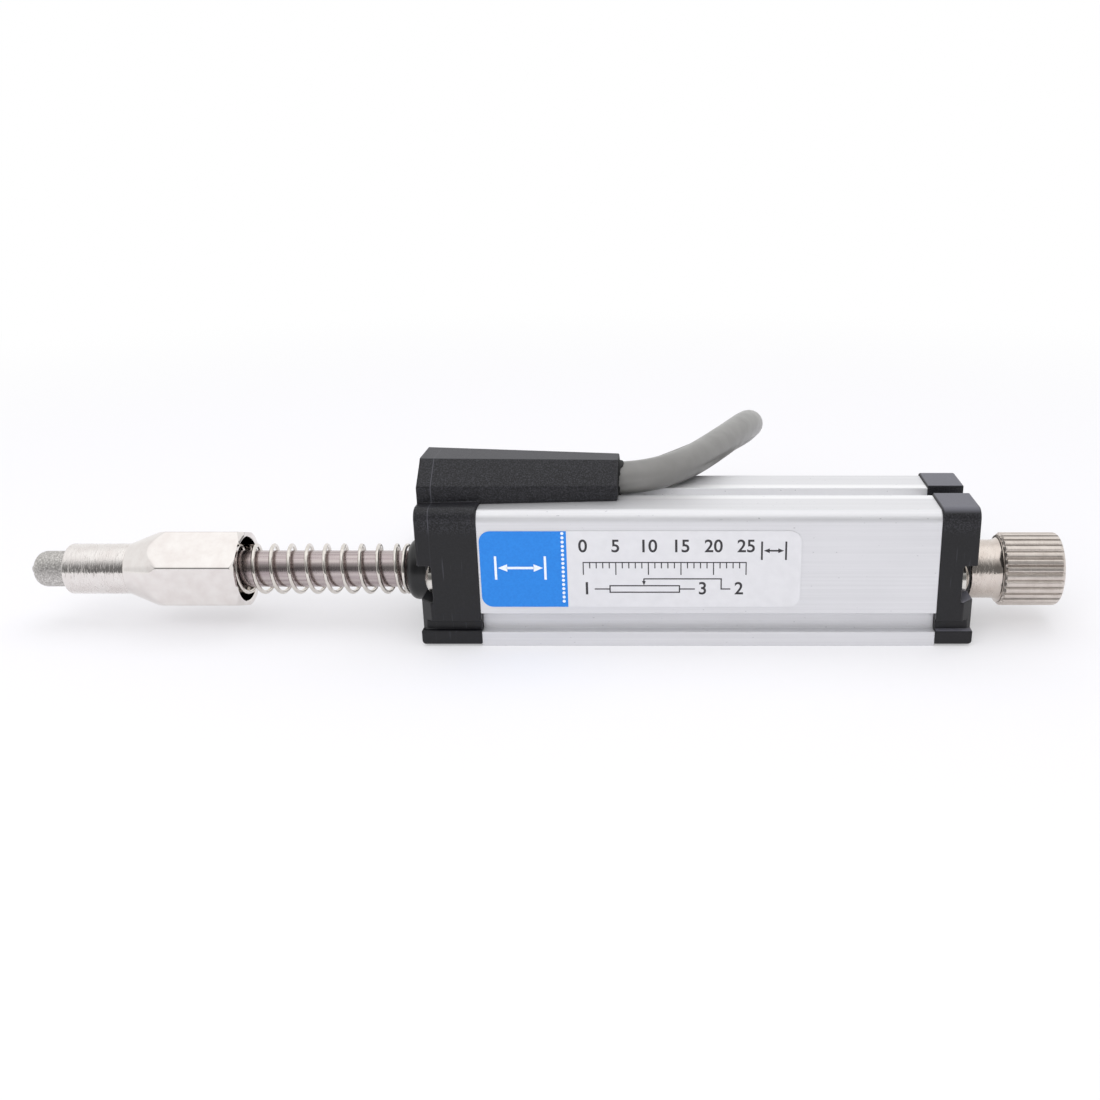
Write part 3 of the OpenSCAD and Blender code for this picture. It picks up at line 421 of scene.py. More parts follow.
# Cable: out of the hood, over and down behind the housing, and into a hank of four turns, three on the
# floor and one on top of them. Route in millimetres, the same as the CAD model's.
cableSet = {
    "diameter": 4.4,
    "thinner": 0.01,
    "length": 0.766,
    "mouth": (10.5, 0, 20.4),
    "route": [(0.5, 0, 20.4), (4, 0, 20.4), (7.5, 0, 20.4), (10.5, 0, 20.4), (12, 0.1, 20.45),
              (13.5, 0.5, 20.5), (14.9, 1.1, 20.6), (16.2, 1.9, 20.7), (17.3, 2.9, 20.8), (18.3, 4.2, 20.8),
              (19.6, 6.4, 20.8), (21.2, 9.8, 20.8), (22.9, 13.9, 20.8), (24.5, 18.2, 20.75), (26, 22.7, 20.6),
              (27.5, 27.6, 20.4), (28.8, 32.6, 20), (29.7, 37.6, 19.1), (29.9, 42.8, 17.6), (29, 47.8, 15.3),
              (26.8, 52, 12.8), (23.5, 55.1, 10.4), (19.3, 57, 8.1), (14.7, 57.7, 6.1), (10, 57.7, 4.4),
              (5, 57.5, 3), (-0.25, 57.3, 2.25)],
    "leftEnd": -0.25,
    "rightEnd": 44.0,
    "frontRow": 12.2,
    "backRows": (57.3, 52.9, 48.5),
    "upperBack": 41.5,
    "jacketEnd": 28.0,
}


def halfTurn(x, front, back, z, leftward):
    # half circle from the back row to the front row on the left, or from front to back on the right
    r, y = (back - front) / 2, (back + front) / 2
    a = np.radians(np.linspace(90, 270, 60) if leftward else np.linspace(-90, 90, 60))
    return np.stack([x + r * np.cos(a), y + r * np.sin(a), np.full(60, z)], 1)


def straight(a, b, count=30):
    # points at even steps from a to b
    t = np.linspace(0, 1, count)[:, None]
    return np.asarray(a) * (1 - t) + np.asarray(b) * t


def cablePath(s):
    # the seen route, then three turns on the floor, one on top of them and a last front run; the climb
    # between the layers follows t * t * (3 - 2 * t)
    d, xa, xb, f = s["diameter"], s["leftEnd"], s["rightEnd"], s["frontRow"]
    low, high = d / 2, d * 1.5
    b0, b1, b2 = s["backRows"]
    up = s["upperBack"]
    t = np.linspace(0, 1, 60)
    ease = lambda u: np.clip(u, 0, 1) ** 2 * (3 - 2 * np.clip(u, 0, 1))
    climb = np.stack([xa + (xb - xa) * t, f + 2 * d - d * ease((t - 0.45) * 2), low + d * ease(t * 2)], 1)
    parts = [smoothPath(s["route"], 0.5, 0),
             halfTurn(xa, f, b0, low, True), straight((xa, f, low), (xb, f, low)),
             halfTurn(xb, f, b1, low, False), straight((xb, b1, low), (xa, b1, low)),
             halfTurn(xa, f + d, b1, low, True), straight((xa, f + d, low), (xb, f + d, low)),
             halfTurn(xb, f + d, b2, low, False), straight((xb, b2, low), (xa, b2, low)),
             halfTurn(xa, f + 2 * d, b2, low, True), climb,
             halfTurn(xb, f + d, up, high, False), straight((xb, up, high), (xa, up, high)),
             halfTurn(xa, f, up, high, True), straight((xa, f, high), (s["jacketEnd"], f, high))]
    return evenly(np.vstack(parts), 1.0)


def makeCable(s):
    # a circle carried along the path, a hair thinner than the CAD model's tube
    path = cablePath(s)
    made = makeTube("cableJacket", path, s["diameter"] / 2 - s["thinner"], 20, finish["jacket"], "housing")
    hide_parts("cable", "cable_hank")
    return made, path


cable, cableLine = makeCable(cableSet)

# Tie: a flat rubber strap round the front runs of the hank.
tieSet = {"x": 15.5, "width": 2.4, "thick": 0.4, "front": 9.95, "back": 23.25, "bottom": 0.42, "top": 8.85,
          "corner": 2.0}


def makeTie(s):
    # the strap's section carried round a rectangle with round corners
    y0, y1, z0, z1 = s["front"], s["back"], s["bottom"], s["top"]
    r = s["corner"]
    line = []
    for y, z, a in [(y1 - r, z1 - r, 0), (y0 + r, z1 - r, 90), (y0 + r, z0 + r, 180), (y1 - r, z0 + r, 270)]:
        turn = np.radians(np.linspace(a, a + 90, 10))
        line.append(np.stack([y + r * np.cos(turn), z + r * np.sin(turn), np.cos(turn), np.sin(turn)], 1))
    line = np.vstack(line)
    w, t = s["width"] / 2, s["thick"]
    section = np.array([(-w, 0.05), (0.15 - w, 0), (w - 0.15, 0), (w, 0.05), (w, t - 0.12), (w - 0.25, t),
                        (0.25 - w, t), (-w, t - 0.12)])
    points = np.stack([s["x"] + np.broadcast_to(section[None, :, 0], (len(line), len(section))),
                       line[:, 0:1] + line[:, 2:3] * section[None, :, 1],
                       line[:, 1:2] + line[:, 3:4] * section[None, :, 1]], -1).reshape(-1, 3)
    made = makePiece("hankTie", points, joinGrid(len(line), len(section), True), finish["rubber"], "housing")
    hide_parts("hank_tie")
    return made


tie = makeTie(tieSet)

# Cores: three insulated wires at the cable's far end, with their last few millimetres bare.
coreSet = {"start": 27.6, "end": 54.8, "y": 12.2, "z": 5.02, "gap": 1.32, "radius": 0.58, "bare": 6.0,
           "sway": 0.12, "strands": 0.5, "finishes": ("redPvc", "whitePvc", "yellowPvc")}


def makeCores(s):
    # a circle carried along each wire, which sways by a growing sine
    made = []
    for k, kind in enumerate(s["finishes"]):
        t = np.linspace(0, 1, 60)
        x = s["start"] + (s["end"] - s["start"]) * t
        y = s["y"] + (k - 1) * s["gap"] + s["sway"] * np.sin(5 * t + k) * t
        line = np.stack([x, y, np.full(60, s["z"])], 1)
        cut = int(np.argmax(x > s["end"] - s["bare"]))
        made.append(makeTube("core%d" % (k + 1), line[:cut], s["radius"], 12, finish[kind], "housing"))
        made.append(makeTube("coreEnd%d" % (k + 1), line[cut - 3:], s["radius"] * s["strands"], 10,
                             finish["tinned"], "housing"))
    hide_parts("cable_cores")
    return made


cores = makeCores(coreSet)
print("cable, hank and cores made")

# Grommet: the thin rubber sleeve in the hood's mouth. It was cut by hand, so its end is ragged, with a
# tongue at the top.
grommetSet = {"start": 8.6, "mouth": 10.5, "out": 0.14, "tongue": 0.5, "ragged": 0.06, "inner": 2.2,
              "outer": 2.42, "chamfer": 0.06, "sides": 96}


def makeGrommet(s):
    # a ring section whose outer end moves out with the eighth power of the cosine of the angle from
    # the top, plus three small waves
    n, cut = s["sides"], s["chamfer"]
    a = np.arange(n) * 2 * np.pi / n
    end = s["mouth"] + s["out"] + s["tongue"] * np.maximum(np.cos(a - 0.3), 0) ** 8
    end = end + s["ragged"] * (np.sin(7 * a) + 0.7 * np.sin(13 * a + 1) + 0.5 * np.sin(23 * a + 2))
    start = np.full(n, s["start"])
    x = np.stack([start, start, end - cut, end, end])
    r = np.repeat([[s["inner"]], [s["outer"]], [s["outer"]], [s["outer"] - cut], [s["inner"]]], n, 1)
    points = np.stack([x, -r * np.sin(a), common["cableHeight"] + r * np.cos(a)], -1).reshape(-1, 3)
    made = makePiece("grommet", points, joinGrid(5, n, True), finish["rubber"], "housing")
    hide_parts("cable_grommet")


makeGrommet(grommetSet)
print("grommet made")

# Finish of the CAD pieces.
nodeFinish = {
    "housing": "aluminium", "front_cap": "abs", "rear_cap": "abs", "front_bush": "acetal",
    "rear_bush": "acetal", "front_screws": "zinc", "rear_screws": "zinc", "label": "film",
    "element_board": "laminate", "board_pins": "brass", "lead_wires": "redPvc", "cord_clamp": "zinc",
    "cable_grommet": "rubber", "cable": "jacket", "cable_hank": "jacket", "hank_tie": "rubber",
    "cable_cores": "redPvc", "wiper_carriage": "naturalAcetal", "wiper_contacts": "brass",
    "carriage_clips": "rod", "rod": "rod", "probe_nut": "nut", "contact_tip": "tip",
    "stop_collar": "collar", "knob": "knob", "spring": "wire",
}
for name, kind in nodeFinish.items():
    mesh = nodes[name].data
    mesh.materials.clear()
    mesh.materials.append(finish[kind])
print("CAD pieces finished")

# Softened copies of the profile and the caps, with the width of their rounded edges.
edgeWidths = {"housing": 0.08, "front_cap": 0.16, "rear_cap": 0.18}


def softEdges(node, body, width, segments=2, angle=28):
    # a copy of the CAD piece: its loose triangles are merged, and edges sharper than the angle are rounded
    piece = nodes[node].copy()
    piece.data = nodes[node].data.copy()
    piece.name = node + "Soft"
    piece.parent = None
    bpy.context.collection.objects.link(piece)
    for key in [k for k in piece.keys() if k.startswith("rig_")]:
        del piece[key]
    work = bmesh.new()
    work.from_mesh(piece.data)
    bmesh.ops.remove_doubles(work, verts=work.verts, dist=2e-6)
    bmesh.ops.dissolve_limit(work, angle_limit=math.radians(0.6), verts=work.verts, edges=work.edges)
    work.to_mesh(piece.data)
    work.free()
    piece.data.polygons.foreach_set("use_smooth", np.full(len(piece.data.polygons), True))
    piece.data.set_sharp_from_angle(angle=math.radians(angle))
    bevel = piece.modifiers.new("edges", "BEVEL")
    bevel.width, bevel.segments, bevel.limit_method = width * mm, segments, "ANGLE"
    bevel.angle_limit = math.radians(angle)
    bevel.use_clamp_overlap = False
    piece.modifiers.new("flats", "WEIGHTED_NORMAL").keep_sharp = True
    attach(piece, body)
    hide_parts(node)


for name, width in edgeWidths.items():
    softEdges(name, "housing", width)
print("housing and caps softened")

# Probe nut: collar, cone and hexagon turned from one bar, bored for the rod, the stud and the spring.
nutSet = {"front": -64.6, "cone": -56.3, "hexagon": -50.8, "back": -40.7, "collar": 3.45, "step": 0.1,
          "flats": 10.0, "roll": 40.0, "cornerRound": 0.42, "over": 0.12, "cup": 4.4, "cupDepth": 12.0,
          "boreEnd": -58.5, "stud": 1.27, "rim": 0.6, "rimDrop": 1.15, "edge": 0.2, "blend": 0.02}


def softMin(a, b, width):
    # the smaller of two values, with the change from one to the other rounded over about width
    return -width * np.logaddexp(-a / width, -b / width)


def makeNut(s):
    # angles crowd together at the six corners; the radius is the smaller of the turned outline and the
    # hexagon, whose corners are arcs
    half = s["flats"] / 2
    corner = half / math.cos(math.radians(30))
    fan = np.radians(30) * np.sin(np.linspace(-np.pi / 2, np.pi / 2, 25)[:-1])
    angles = np.concatenate([fan + np.radians(60 * k) for k in range(6)]) + np.radians(s["roll"])

    def hexagon(a):
        w = (a - np.radians(s["roll"]) + np.pi / 6) % (np.pi / 3) - np.pi / 6
        flat = half / np.cos(w)
        # the corner's arc: a circle of the rounding radius touching both flats
        c, q = (half - s["cornerRound"]) / math.cos(math.radians(30)), np.pi / 6 - np.abs(w)
        arc = c * np.cos(q) + np.sqrt(np.maximum(s["cornerRound"] ** 2 - (c * np.sin(q)) ** 2, 0))
        inArc = np.abs(w) > np.arctan2(c * math.sin(math.radians(30)), half)
        return np.where(inArc, np.minimum(flat, arc), flat)

    def radius(x, r, a):
        return np.where(r > s["cup"] + 1e-3, softMin(r, hexagon(a), s["blend"]), r)

    x0, x1, x2, x3 = s["front"], s["cone"], s["hexagon"], s["back"]
    top, foot = corner + s["over"], s["collar"] + s["step"]
    slope = (corner - foot) / (x2 - x1)
    coneEnd = x1 + (top - foot) / slope
    head = rounded([(x0, s["stud"]), (x0, s["collar"]), (x1 - 0.05, s["collar"])], [0, s["edge"], 0])
    cone = [(x1, s["collar"] + s["step"] * 0.5), (x1 + 0.04, foot)]
    cone += [(x1 + (coneEnd - x1) * t, foot + (top - foot) * t) for t in np.linspace(0.02, 1, 56)]
    body = [(x, top) for x in np.linspace(coneEnd + 0.3, x3 - s["rim"] - 0.35, 8)]
    rim = [(x3 - s["rim"] * (1 - t) - 0.04, top - s["rim"] * s["rimDrop"] * t) for t in np.linspace(0, 1, 10)]
    rim += [(x3, top - s["rim"] * s["rimDrop"] - 0.05), (x3, s["cup"] + 0.08)]
    inner = [(x3 - 0.08, s["cup"])] + [(x3 - s["cupDepth"] * t, s["cup"]) for t in (0.2, 0.5, 0.8, 0.99)]
    inner += [(x3 - s["cupDepth"], s["cup"] - 0.1), (x3 - s["cupDepth"], common["bore"]),
              (s["boreEnd"], common["bore"]), (s["boreEnd"], s["stud"])]
    outline = np.vstack([head, cone, body, rim, inner])
    made = makeTurned("probeNut", outline, finish["nut"], "rod", closed=True,
                      shape={"angles": angles, "radius": radius}, sharp=40)
    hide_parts("probe_nut")


makeNut(nutSet)

# Contact tip: rounded edge, domed pip, and the stud that screws into the nut.
tipSet = {"front": -70.2, "pip": 0.8, "pipHeight": 0.76, "radius": 2.45, "edge": 1.5, "back": -64.6,
          "stud": 1.25, "studEnd": -58.7}


def makeTip(s):
    # the outline is an arc over the pip, then a quarter circle at the edge, carried round the axis
    dome = (s["pip"] ** 2 + s["pipHeight"] ** 2) / (2 * s["pipHeight"])
    a = np.linspace(0, math.asin(s["pip"] / dome), 10)
    pip = np.stack([s["front"] + dome * (1 - np.cos(a)), dome * np.sin(a)], 1)
    face = s["front"] + s["pipHeight"]
    b = np.linspace(0, np.pi / 2, 14)
    edge = np.stack([face + s["edge"] * (1 - np.cos(b)), s["radius"] - s["edge"] * (1 - np.sin(b))], 1)
    rest = [(s["back"], s["radius"]), (s["back"], s["stud"]), (s["studEnd"], s["stud"]), (s["studEnd"], 0)]
    made = makeTurned("contactTip", np.vstack([pip, edge, rest]), finish["tip"], "rod",
                      sides=64)
    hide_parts("contact_tip")


makeTip(tipSet)

# Stop collar: a turned ring with a flared rim at its back.
collarSet = {"front": 57.7, "back": 61.95, "radius": 4.0, "edge": 0.18, "flare": 0.28, "flareLength": 1.1,
             "lip": 0.6, "lipWidth": 0.06}


def makeCollar(s):
    # the flare's radius grows with the square of the way along it, and then steps out to the thin lip
    start, end = s["back"] - s["flareLength"], s["back"] - 2 * s["lipWidth"]
    flare = [(start + (end - start) * t, s["radius"] + s["flare"] * t * t) for t in np.linspace(0, 1, 14)]
    flare += [(s["back"] - s["lipWidth"], s["radius"] + s["lip"]), (s["back"], s["radius"] + s["lip"])]
    corners = [(s["back"], common["bore"]), (s["front"], common["bore"]), (s["front"], s["radius"]),
               (start - 0.5, s["radius"])]
    outline = np.vstack([rounded(corners, [0, 0, s["edge"], 0]), flare])
    made = makeTurned("stopCollar", outline, finish["collar"], "rod", closed=True)
    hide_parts("stop_collar")


makeCollar(collarSet)

# Knob: straight knurl of thirty ridges, with a short neck towards the collar.
knobSet = {"neck": 61.95, "neckRadius": 4.4, "front": 62.02, "frontRadius": 4.55, "back": 70.2, "radius": 5.0,
           "teeth": 30, "depth": 0.3, "grooveHalf": 0.22, "frontChamfer": 0.35, "backChamfer": 0.75,
           "boreEnd": 66.8, "uneven": (0.18, 0.12), "blend": 0.015}


def makeKnob(s):
    # each ridge has a flat top and a round groove beside it, whose depth changes a little round the
    # knob; the radius is the smaller of the ridges and of the chamfered outline
    angles = np.arange(s["teeth"] * 10) * 2 * np.pi / (s["teeth"] * 10)

    def ridges(a):
        w = (a * s["teeth"] / (2 * np.pi)) % 1 - 0.5
        dip = np.clip(1 - (np.abs(w) / s["grooveHalf"]) ** 2, 0, 1)
        uneven = 1 + s["uneven"][0] * np.sin(3 * a + 1) + s["uneven"][1] * np.sin(7 * a)
        return s["radius"] - s["depth"] * dip * uneven

    def radius(x, r, a):
        outer = (r > s["radius"] - s["backChamfer"]) & (x > s["front"] - 0.01)
        return np.where(outer, softMin(r, ridges(a), s["blend"]), r)

    x0, x1, top = s["front"], s["back"], s["radius"] + 0.02
    f, b = s["frontChamfer"], s["backChamfer"]
    front = [(x0 + f * t, top - f * (1 - t)) for t in np.linspace(0, 1, 8)]
    barrel = [(x, top) for x in np.linspace(x0 + f + 0.2, x1 - b - 0.2, 10)]
    back = [(x1 - b + b * math.sin(t), top - b * (1 - math.cos(t))) for t in np.linspace(0, np.pi / 2, 12)]
    outline = [(s["boreEnd"], 0), (s["boreEnd"], common["bore"]), (s["neck"], common["bore"]),
               (s["neck"], s["neckRadius"]), (x0, s["neckRadius"]), (x0, s["frontRadius"])]
    outline += front + barrel + back + [(x1, 2.0), (x1, 0)]
    made = makeTurned("knurledKnob", np.array(outline), finish["knob"], "rod",
                      shape={"angles": angles, "radius": radius})
    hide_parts("knob")


makeKnob(knobSet)
print("nut, tip, collar and knob made")

# Spring: its front turns are hidden in the cup. The ends lie close, one and a half turns in the cup and
# one at the bush. What it keeps of its length is (34.5 - 25) / 34.5.
springSet = {"front": -52.7, "back": -18.2, "wire": 0.55, "outer": 7.0, "pitch": 2.4, "closedFront": 1.5,
             "closedBack": 1.0, "gap": 0.02, "average": 15, "firm": 0.4, "topAt": -20.1, "keep": 0.2754}


def makeSpring(s):
    # a circle carried along a helix whose climb for each turn changes from the wire's width to the
    # pitch; the change is softened by a running average, except in the first and last part of a turn
    w, r = s["wire"], (s["outer"] - s["wire"]) / 2
    x0, x1 = s["front"] + w / 2 + s["gap"], s["back"] - w / 2 - s["gap"]
    xa, xb = x0 + s["closedFront"] * w, x1 - s["closedBack"] * w
    openTurns = (xb - xa) / s["pitch"]
    turns = s["closedFront"] + openTurns + s["closedBack"]
    knots = [0, s["closedFront"], s["closedFront"] + openTurns, turns]
    u = np.linspace(0, turns, int(turns * 30))
    x = np.interp(u, knots, [x0, xa, xb, x1])
    n = s["average"]
    ease = np.convolve(np.pad(x, n // 2, "edge"), np.ones(n) / n, "valid")
    x = np.where((u > s["firm"]) & (u < turns - s["firm"]), ease, x)
    phase = np.interp(s["topAt"], x, u)
    a = 2 * np.pi * (u - phase)
    line = np.stack([x, -r * np.sin(a), common["rodHeight"] + r * np.cos(a)], 1)
    made = makeTube("springWire", line, w / 2, 12, finish["wire"], "housing")
    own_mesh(made)
    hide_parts("spring")


makeSpring(springSet)
print("spring made")

# Print on the label: a blue field with a stroke sign, a plain travel scale and a wiring sign.
# Places along X and heights in millimetres, with their line widths.
printSet = {
    "face": -9.37, "thick": 0.012, "sunk": 0.006, "left": -7.1, "low": 5.6, "high": 16.0, "corner": 1.5,
    "fieldEnd": 4.12, "dotsAt": 3.6, "dotSize": 0.4, "dotPitch": 0.58, "dots": 17, "dotsBelow": 0.3,
    "arrow": {"wing": 0.42, "overlap": 0.05},
    "sign": {"x": -1.9, "z": 11.0, "half": 3.2, "tall": 1.6, "line": 0.3, "gap": 0.3, "shaft": 0.32,
             "head": 1.2},
    "scale": {"first": 6.2, "last": 27.2, "top": 11.75, "long": 1.7, "short": 0.8, "line": 0.14},
    "wiring": {"left": 7.6, "track": (9.6, 18.6), "right": 20.6, "z": 8.1, "half": 0.45, "wiper": 14.0,
               "wireUp": 1.4, "wireEnd": 24.0, "end": 25.2, "line": 0.16, "above": 0.5, "head": 0.6},
    "travel": {"x": (29.2, 32.3), "middle": 30.7, "z": (12.1, 14.6), "line": 0.24, "gap": 0.25,
               "shaft": 0.22, "head": 0.75},
    "figures": {"height": 1.75, "size": 1.37, "bold": 0.035, "scaleAt": 13.9,
                "ends": [("1", 6.6), ("3", 21.6), ("2", 26.3)]},
}


def makePrint(name, shapes, kind, lift):
    # each shape is an outline of (x, z) points, made into a closed plate of the ink's thickness
    points, faces = [], []
    y = printSet["face"] - lift
    for shape in shapes:
        n, k = len(shape), len(points)
        points += [(x, y + depth, z) for depth in (printSet["sunk"], -printSet["thick"]) for x, z in shape]
        faces += [list(range(k, k + n))[::-1], list(range(k + n, k + 2 * n))]
        faces += [[k + i, k + (i + 1) % n, k + n + (i + 1) % n, k + n + i] for i in range(n)]
    makePiece(name, points, faces, finish[kind], "housing")


def disc2d(x, z, r, n=16):
    # n points round a circle
    return [(x + r * math.cos(2 * math.pi * k / n), z + r * math.sin(2 * math.pi * k / n)) for k in range(n)]


def stroke2d(a, b, w):
    # a straight stroke of width w with square ends
    a, b = np.array(a, float), np.array(b, float)
    t = (b - a) / np.linalg.norm(b - a)
    n = np.array([-t[1], t[0]]) * w / 2
    return [tuple(a - n), tuple(b - n), tuple(b + n), tuple(a + n)]


def arrow2d(tip, back, w, head):
    # a stroke with a pointed head
    tip, back = np.array(tip, float), np.array(back, float)
    t = (tip - back) / np.linalg.norm(tip - back)
    n = np.array([-t[1], t[0]])
    neck = tip - t * head
    s = printSet["arrow"]
    wing = n * head * s["wing"]
    shaft = stroke2d(back, neck + t * s["overlap"], w)
    return [shaft, [tuple(tip), tuple(neck + wing), tuple(neck - wing)]]


def number2d(text, x, z):
    # plain figures as flat outlines made into thin closed plates, centred on (x, z); the font's size is
    # the figures' height times a fixed share
    p = printSet["figures"]
    curve = bpy.data.curves.new("figures", "FONT")
    curve.body = text
    curve.size = p["height"] * p["size"] * mm
    curve.align_x, curve.align_y = "CENTER", "CENTER"
    curve.extrude = printSet["thick"] / 2 * mm
    curve.offset = p["bold"] * mm
    holder = bpy.data.objects.new("figures", curve)
    bpy.context.collection.objects.link(holder)
    bpy.context.view_layer.update()
    mesh = bpy.data.meshes.new_from_object(holder.evaluated_get(bpy.context.evaluated_depsgraph_get()))
    bpy.data.objects.remove(holder)
    co = np.empty(len(mesh.vertices) * 3)
    mesh.vertices.foreach_get("co", co)
    co = co.reshape(-1, 3) / mm
    faces = [list(polygon.vertices) for polygon in mesh.polygons]
    bpy.data.meshes.remove(mesh)
    co = np.stack([x + co[:, 0], printSet["face"] - co[:, 2], z + co[:, 1]], 1)
    return co, faces


def makeLabelPrint(s):
    # the blue field: a rectangle with two round corners on the left
    c, x0, x1, z0, z1 = s["corner"], s["left"] + 0.01, s["fieldEnd"], s["low"] + 0.01, s["high"] - 0.01
    field = [(x1, z0), (x1, z1)]
    for cz, a0 in ((z1 - c, 90), (z0 + c, 180)):
        for a in np.radians(np.linspace(a0, a0 + 90, 9)):
            field.append((x0 + c + c * math.cos(a), cz + c * math.sin(a)))
    makePrint("labelField", [field[::-1]], "blueInk", 0)

    # white on it: a column of dots, and an arrow each way between two bars
    white = [disc2d(s["dotsAt"], z1 - s["dotsBelow"] - k * s["dotPitch"], s["dotSize"] / 2)
             for k in range(s["dots"])]
    p = s["sign"]
    for way in (-1, 1):
        x, tip = p["x"] + way * p["half"], p["x"] + way * (p["half"] - p["gap"])
        white += [stroke2d((x, p["z"] - p["tall"]), (x, p["z"] + p["tall"]), p["line"])]
        white += arrow2d((tip, p["z"]), (p["x"], p["z"]), p["shaft"], p["head"])
    makePrint("labelFieldSign", white, "whiteInk", s["thick"])

    # dark: the scale, with a long mark at every fifth millimetre
    p = s["scale"]
    w, half, step = p["line"], p["line"] / 2, (p["last"] - p["first"]) / 25
    dark = [stroke2d((p["first"] + step * k, p["top"]), (p["first"] + step * k, p["top"] - depth), w)
            for k in range(26) for depth in [p["long"] if k % 5 == 0 else p["short"]]]
    dark.append(stroke2d((p["first"] - half, p["top"]), (p["last"] + half, p["top"]), w))

    # wiring sign: a track between ends 1 and 3, with the wiper 2
    p = s["wiring"]
    w, half, z, up, (t0, t1) = p["line"], p["line"] / 2, p["z"], p["z"] + p["wireUp"], p["track"]
    low, high = z - p["half"], z + p["half"]
    strokes = [(t0, high, t1, high), (t0, low, t1, low), (t0, low - half, t0, high + half),
               (t1, low - half, t1, high + half), (p["left"], z, t0, z), (t1, z, p["right"], z),
               (p["wiper"], up, p["wireEnd"], up), (p["wireEnd"], up + half, p["wireEnd"], z),
               (p["wireEnd"] - half, z, p["end"], z)]
    dark += [stroke2d((a, b), (c, d), w) for a, b, c, d in strokes]
    dark += arrow2d((p["wiper"], z + p["above"]), (p["wiper"], up + 0.05), w, p["head"])

    # travel sign at the right: an arrow each way between two bars
    p = s["travel"]
    height = sum(p["z"]) / 2
    for x, inner in zip(p["x"], (p["gap"], -p["gap"])):
        dark += [stroke2d((x, p["z"][0]), (x, p["z"][1]), p["line"])]
        dark += arrow2d((x + inner, height), (p["middle"], height), p["shaft"], p["head"])
    makePrint("labelMarks", dark, "darkInk", 0)

    # figures over every fifth mark and at the ends of the wiring sign
    points, faces, p = [], [], s["figures"]
    first, step = s["scale"]["first"], (s["scale"]["last"] - s["scale"]["first"]) / 5
    figures = [(str(5 * k), first + step * k, p["scaleAt"]) for k in range(6)]
    figures += [(text, x, s["wiring"]["z"]) for text, x in p["ends"]]
    for text, x, z in figures:
        co, quads = number2d(text, x, z)
        faces += [[k + len(points) for k in quad] for quad in quads]
        points += co.tolist()
    makePiece("labelFigures", points, faces, finish["darkInk"], "housing")


makeLabelPrint(printSet)
print("label printed")

# Stage: a white floor that keeps the soft shadow near the object, and a white room round it.
stageSet = {"floor": "#f2f1f6", "size": 6.0, "glowNear": 0.36, "glowFrom": 0.10, "glowTo": 0.32,
            "world": 0.68, "camera": (0, -0.978, 0.208), "squeeze": (0.4, 1, 1),
            "dark": 0.18, "darkFrom": 0.643, "darkTo": 0.95,
            "ceiling": 1.24, "ceilingFrom": 0.75, "ceilingTo": 0.95}


def makeFloor(s):
    # one flat square
    h = s["size"] / 2
    mesh = bpy.data.meshes.new("floor")
    mesh.from_pydata([(-h, -h, 0), (h, -h, 0), (h, h, 0), (-h, h, 0)], [], [(0, 1, 2, 3)])
    floor = bpy.data.objects.new("floor", mesh)
    bpy.context.collection.objects.link(floor)
    # White paper, seen partly by its own light, more with the distance, so it fades to plain white
    material, tree, shader, place, noise = startFinish("white paper", 0.0, {}, {
        "Base Color": linear(s["floor"]), "Roughness": 0.9, "Specular IOR Level": 0.1})
    away = addNode(tree, "VectorMath", {"operation": "LENGTH"}, {0: (place, "Object")})
    share = addNode(tree, "MapRange", {"interpolation_type": "SMOOTHSTEP"},
                    {"Value": (away, "Value"), "From Min": s["glowFrom"], "From Max": s["glowTo"],
                     "To Min": s["glowNear"], "To Max": 1.0})
    rays = addNode(tree, "LightPath")
    seen = addNode(tree, "Math", {"operation": "MAXIMUM"},
                   {0: (rays, "Is Camera Ray"), 1: (rays, "Is Glossy Ray")})
    amount = addNode(tree, "Math", {"operation": "MULTIPLY"}, {0: (seen, 0), 1: (share, 0)})
    glow = addNode(tree, "Emission", inputs={"Color": (1, 1, 1, 1), "Strength": 1.0})
    mix = addNode(tree, "MixShader", inputs={0: (amount, 0), 1: (shader, 0), 2: (glow, 0)})
    tree.links.new(mix.outputs[0], tree.nodes["Material Output"].inputs["Surface"])
    mesh.materials.append(material)


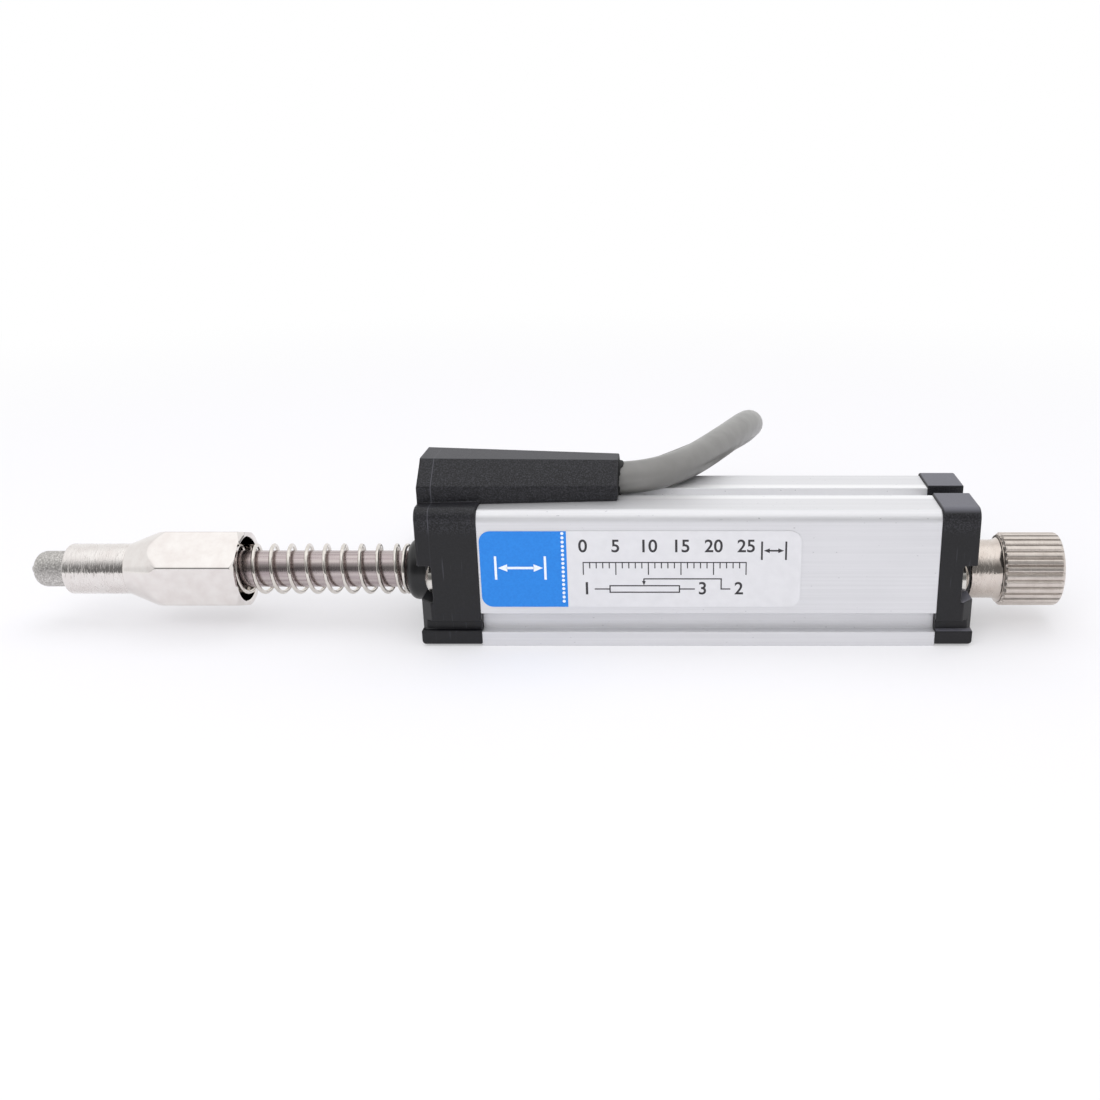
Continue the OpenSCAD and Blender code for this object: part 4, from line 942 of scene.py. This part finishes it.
def makeRoom(s):
    # white for the camera; for reflections the photographer's side is dark and the ceiling is a lamp
    world = bpy.data.worlds.new("room")
    bpy.context.scene.world = world
    world.use_nodes = True
    tree = world.node_tree
    rays = addNode(tree, "LightPath")
    place = addNode(tree, "TexCoord")
    narrow = addNode(tree, "VectorMath", {"operation": "MULTIPLY"},
                     {0: (place, "Generated"), 1: s["squeeze"]})
    unit = addNode(tree, "VectorMath", {"operation": "NORMALIZE"}, {0: (narrow, 0)})
    towards = addNode(tree, "VectorMath", {"operation": "DOT_PRODUCT"}, {0: (unit, 0), 1: s["camera"]})
    room = addNode(tree, "MapRange", inputs={"Value": (towards, "Value"), "From Min": s["darkFrom"],
                                             "From Max": s["darkTo"], "To Min": 1.0, "To Max": s["dark"]})
    split = addNode(tree, "SeparateXYZ", inputs={0: (place, "Generated")})
    ceiling = addNode(tree, "MapRange", {"interpolation_type": "SMOOTHSTEP"},
                      {"Value": (split, "Z"), "From Min": s["ceilingFrom"],
                       "From Max": s["ceilingTo"], "To Min": 0.0, "To Max": s["ceiling"] - 1.0})
    level = addNode(tree, "Math", {"operation": "ADD"}, {0: (room, 0), 1: (ceiling, 0)})
    shine = addNode(tree, "Background", inputs={"Color": (1, 1, 1, 1), "Strength": (level, 0)})
    soft = tree.nodes["Background"]
    soft.inputs["Color"].default_value = (1, 1, 1, 1)
    soft.inputs["Strength"].default_value = s["world"]
    white = addNode(tree, "Background", inputs={"Color": (1, 1, 1, 1), "Strength": 1.0})
    bent = addNode(tree, "Math", {"operation": "MAXIMUM"},
                   {0: (rays, "Is Glossy Ray"), 1: (rays, "Is Transmission Ray")})
    first = addNode(tree, "MixShader", inputs={0: (bent, 0), 1: (soft, 0), 2: (shine, 0)})
    both = addNode(tree, "MixShader", inputs={0: (rays, "Is Camera Ray"), 1: (first, 0), 2: (white, 0)})
    tree.links.new(both.outputs[0], tree.nodes["World Output"].inputs["Surface"])


# Lamps: two large soft squares aimed at the object, places in metres and powers in watts.
lampSet = {"overhead": {"place": (0.02, 0.1, 0.5), "size": 0.6, "power": 0.95},
           "front": {"place": (-0.15, -0.5, 0.4), "size": 0.6, "power": 1.9}}


def makeLamps(lamps):
    for name, s in lamps.items():
        data = bpy.data.lights.new(name, "AREA")
        data.size, data.energy = s["size"], s["power"]
        lamp = bpy.data.objects.new(name, data)
        lamp.location = s["place"]
        lamp.rotation_euler = (Vector((0, 0, 0.01)) - Vector(s["place"])).to_track_quat("-Z", "Y").to_euler()
        lamp.visible_glossy = False
        bpy.context.collection.objects.link(lamp)


makeFloor(stageSet)
makeRoom(stageSet)
makeLamps(lampSet)
bpy.context.scene.view_settings.view_transform = "Standard"
print("stage made")
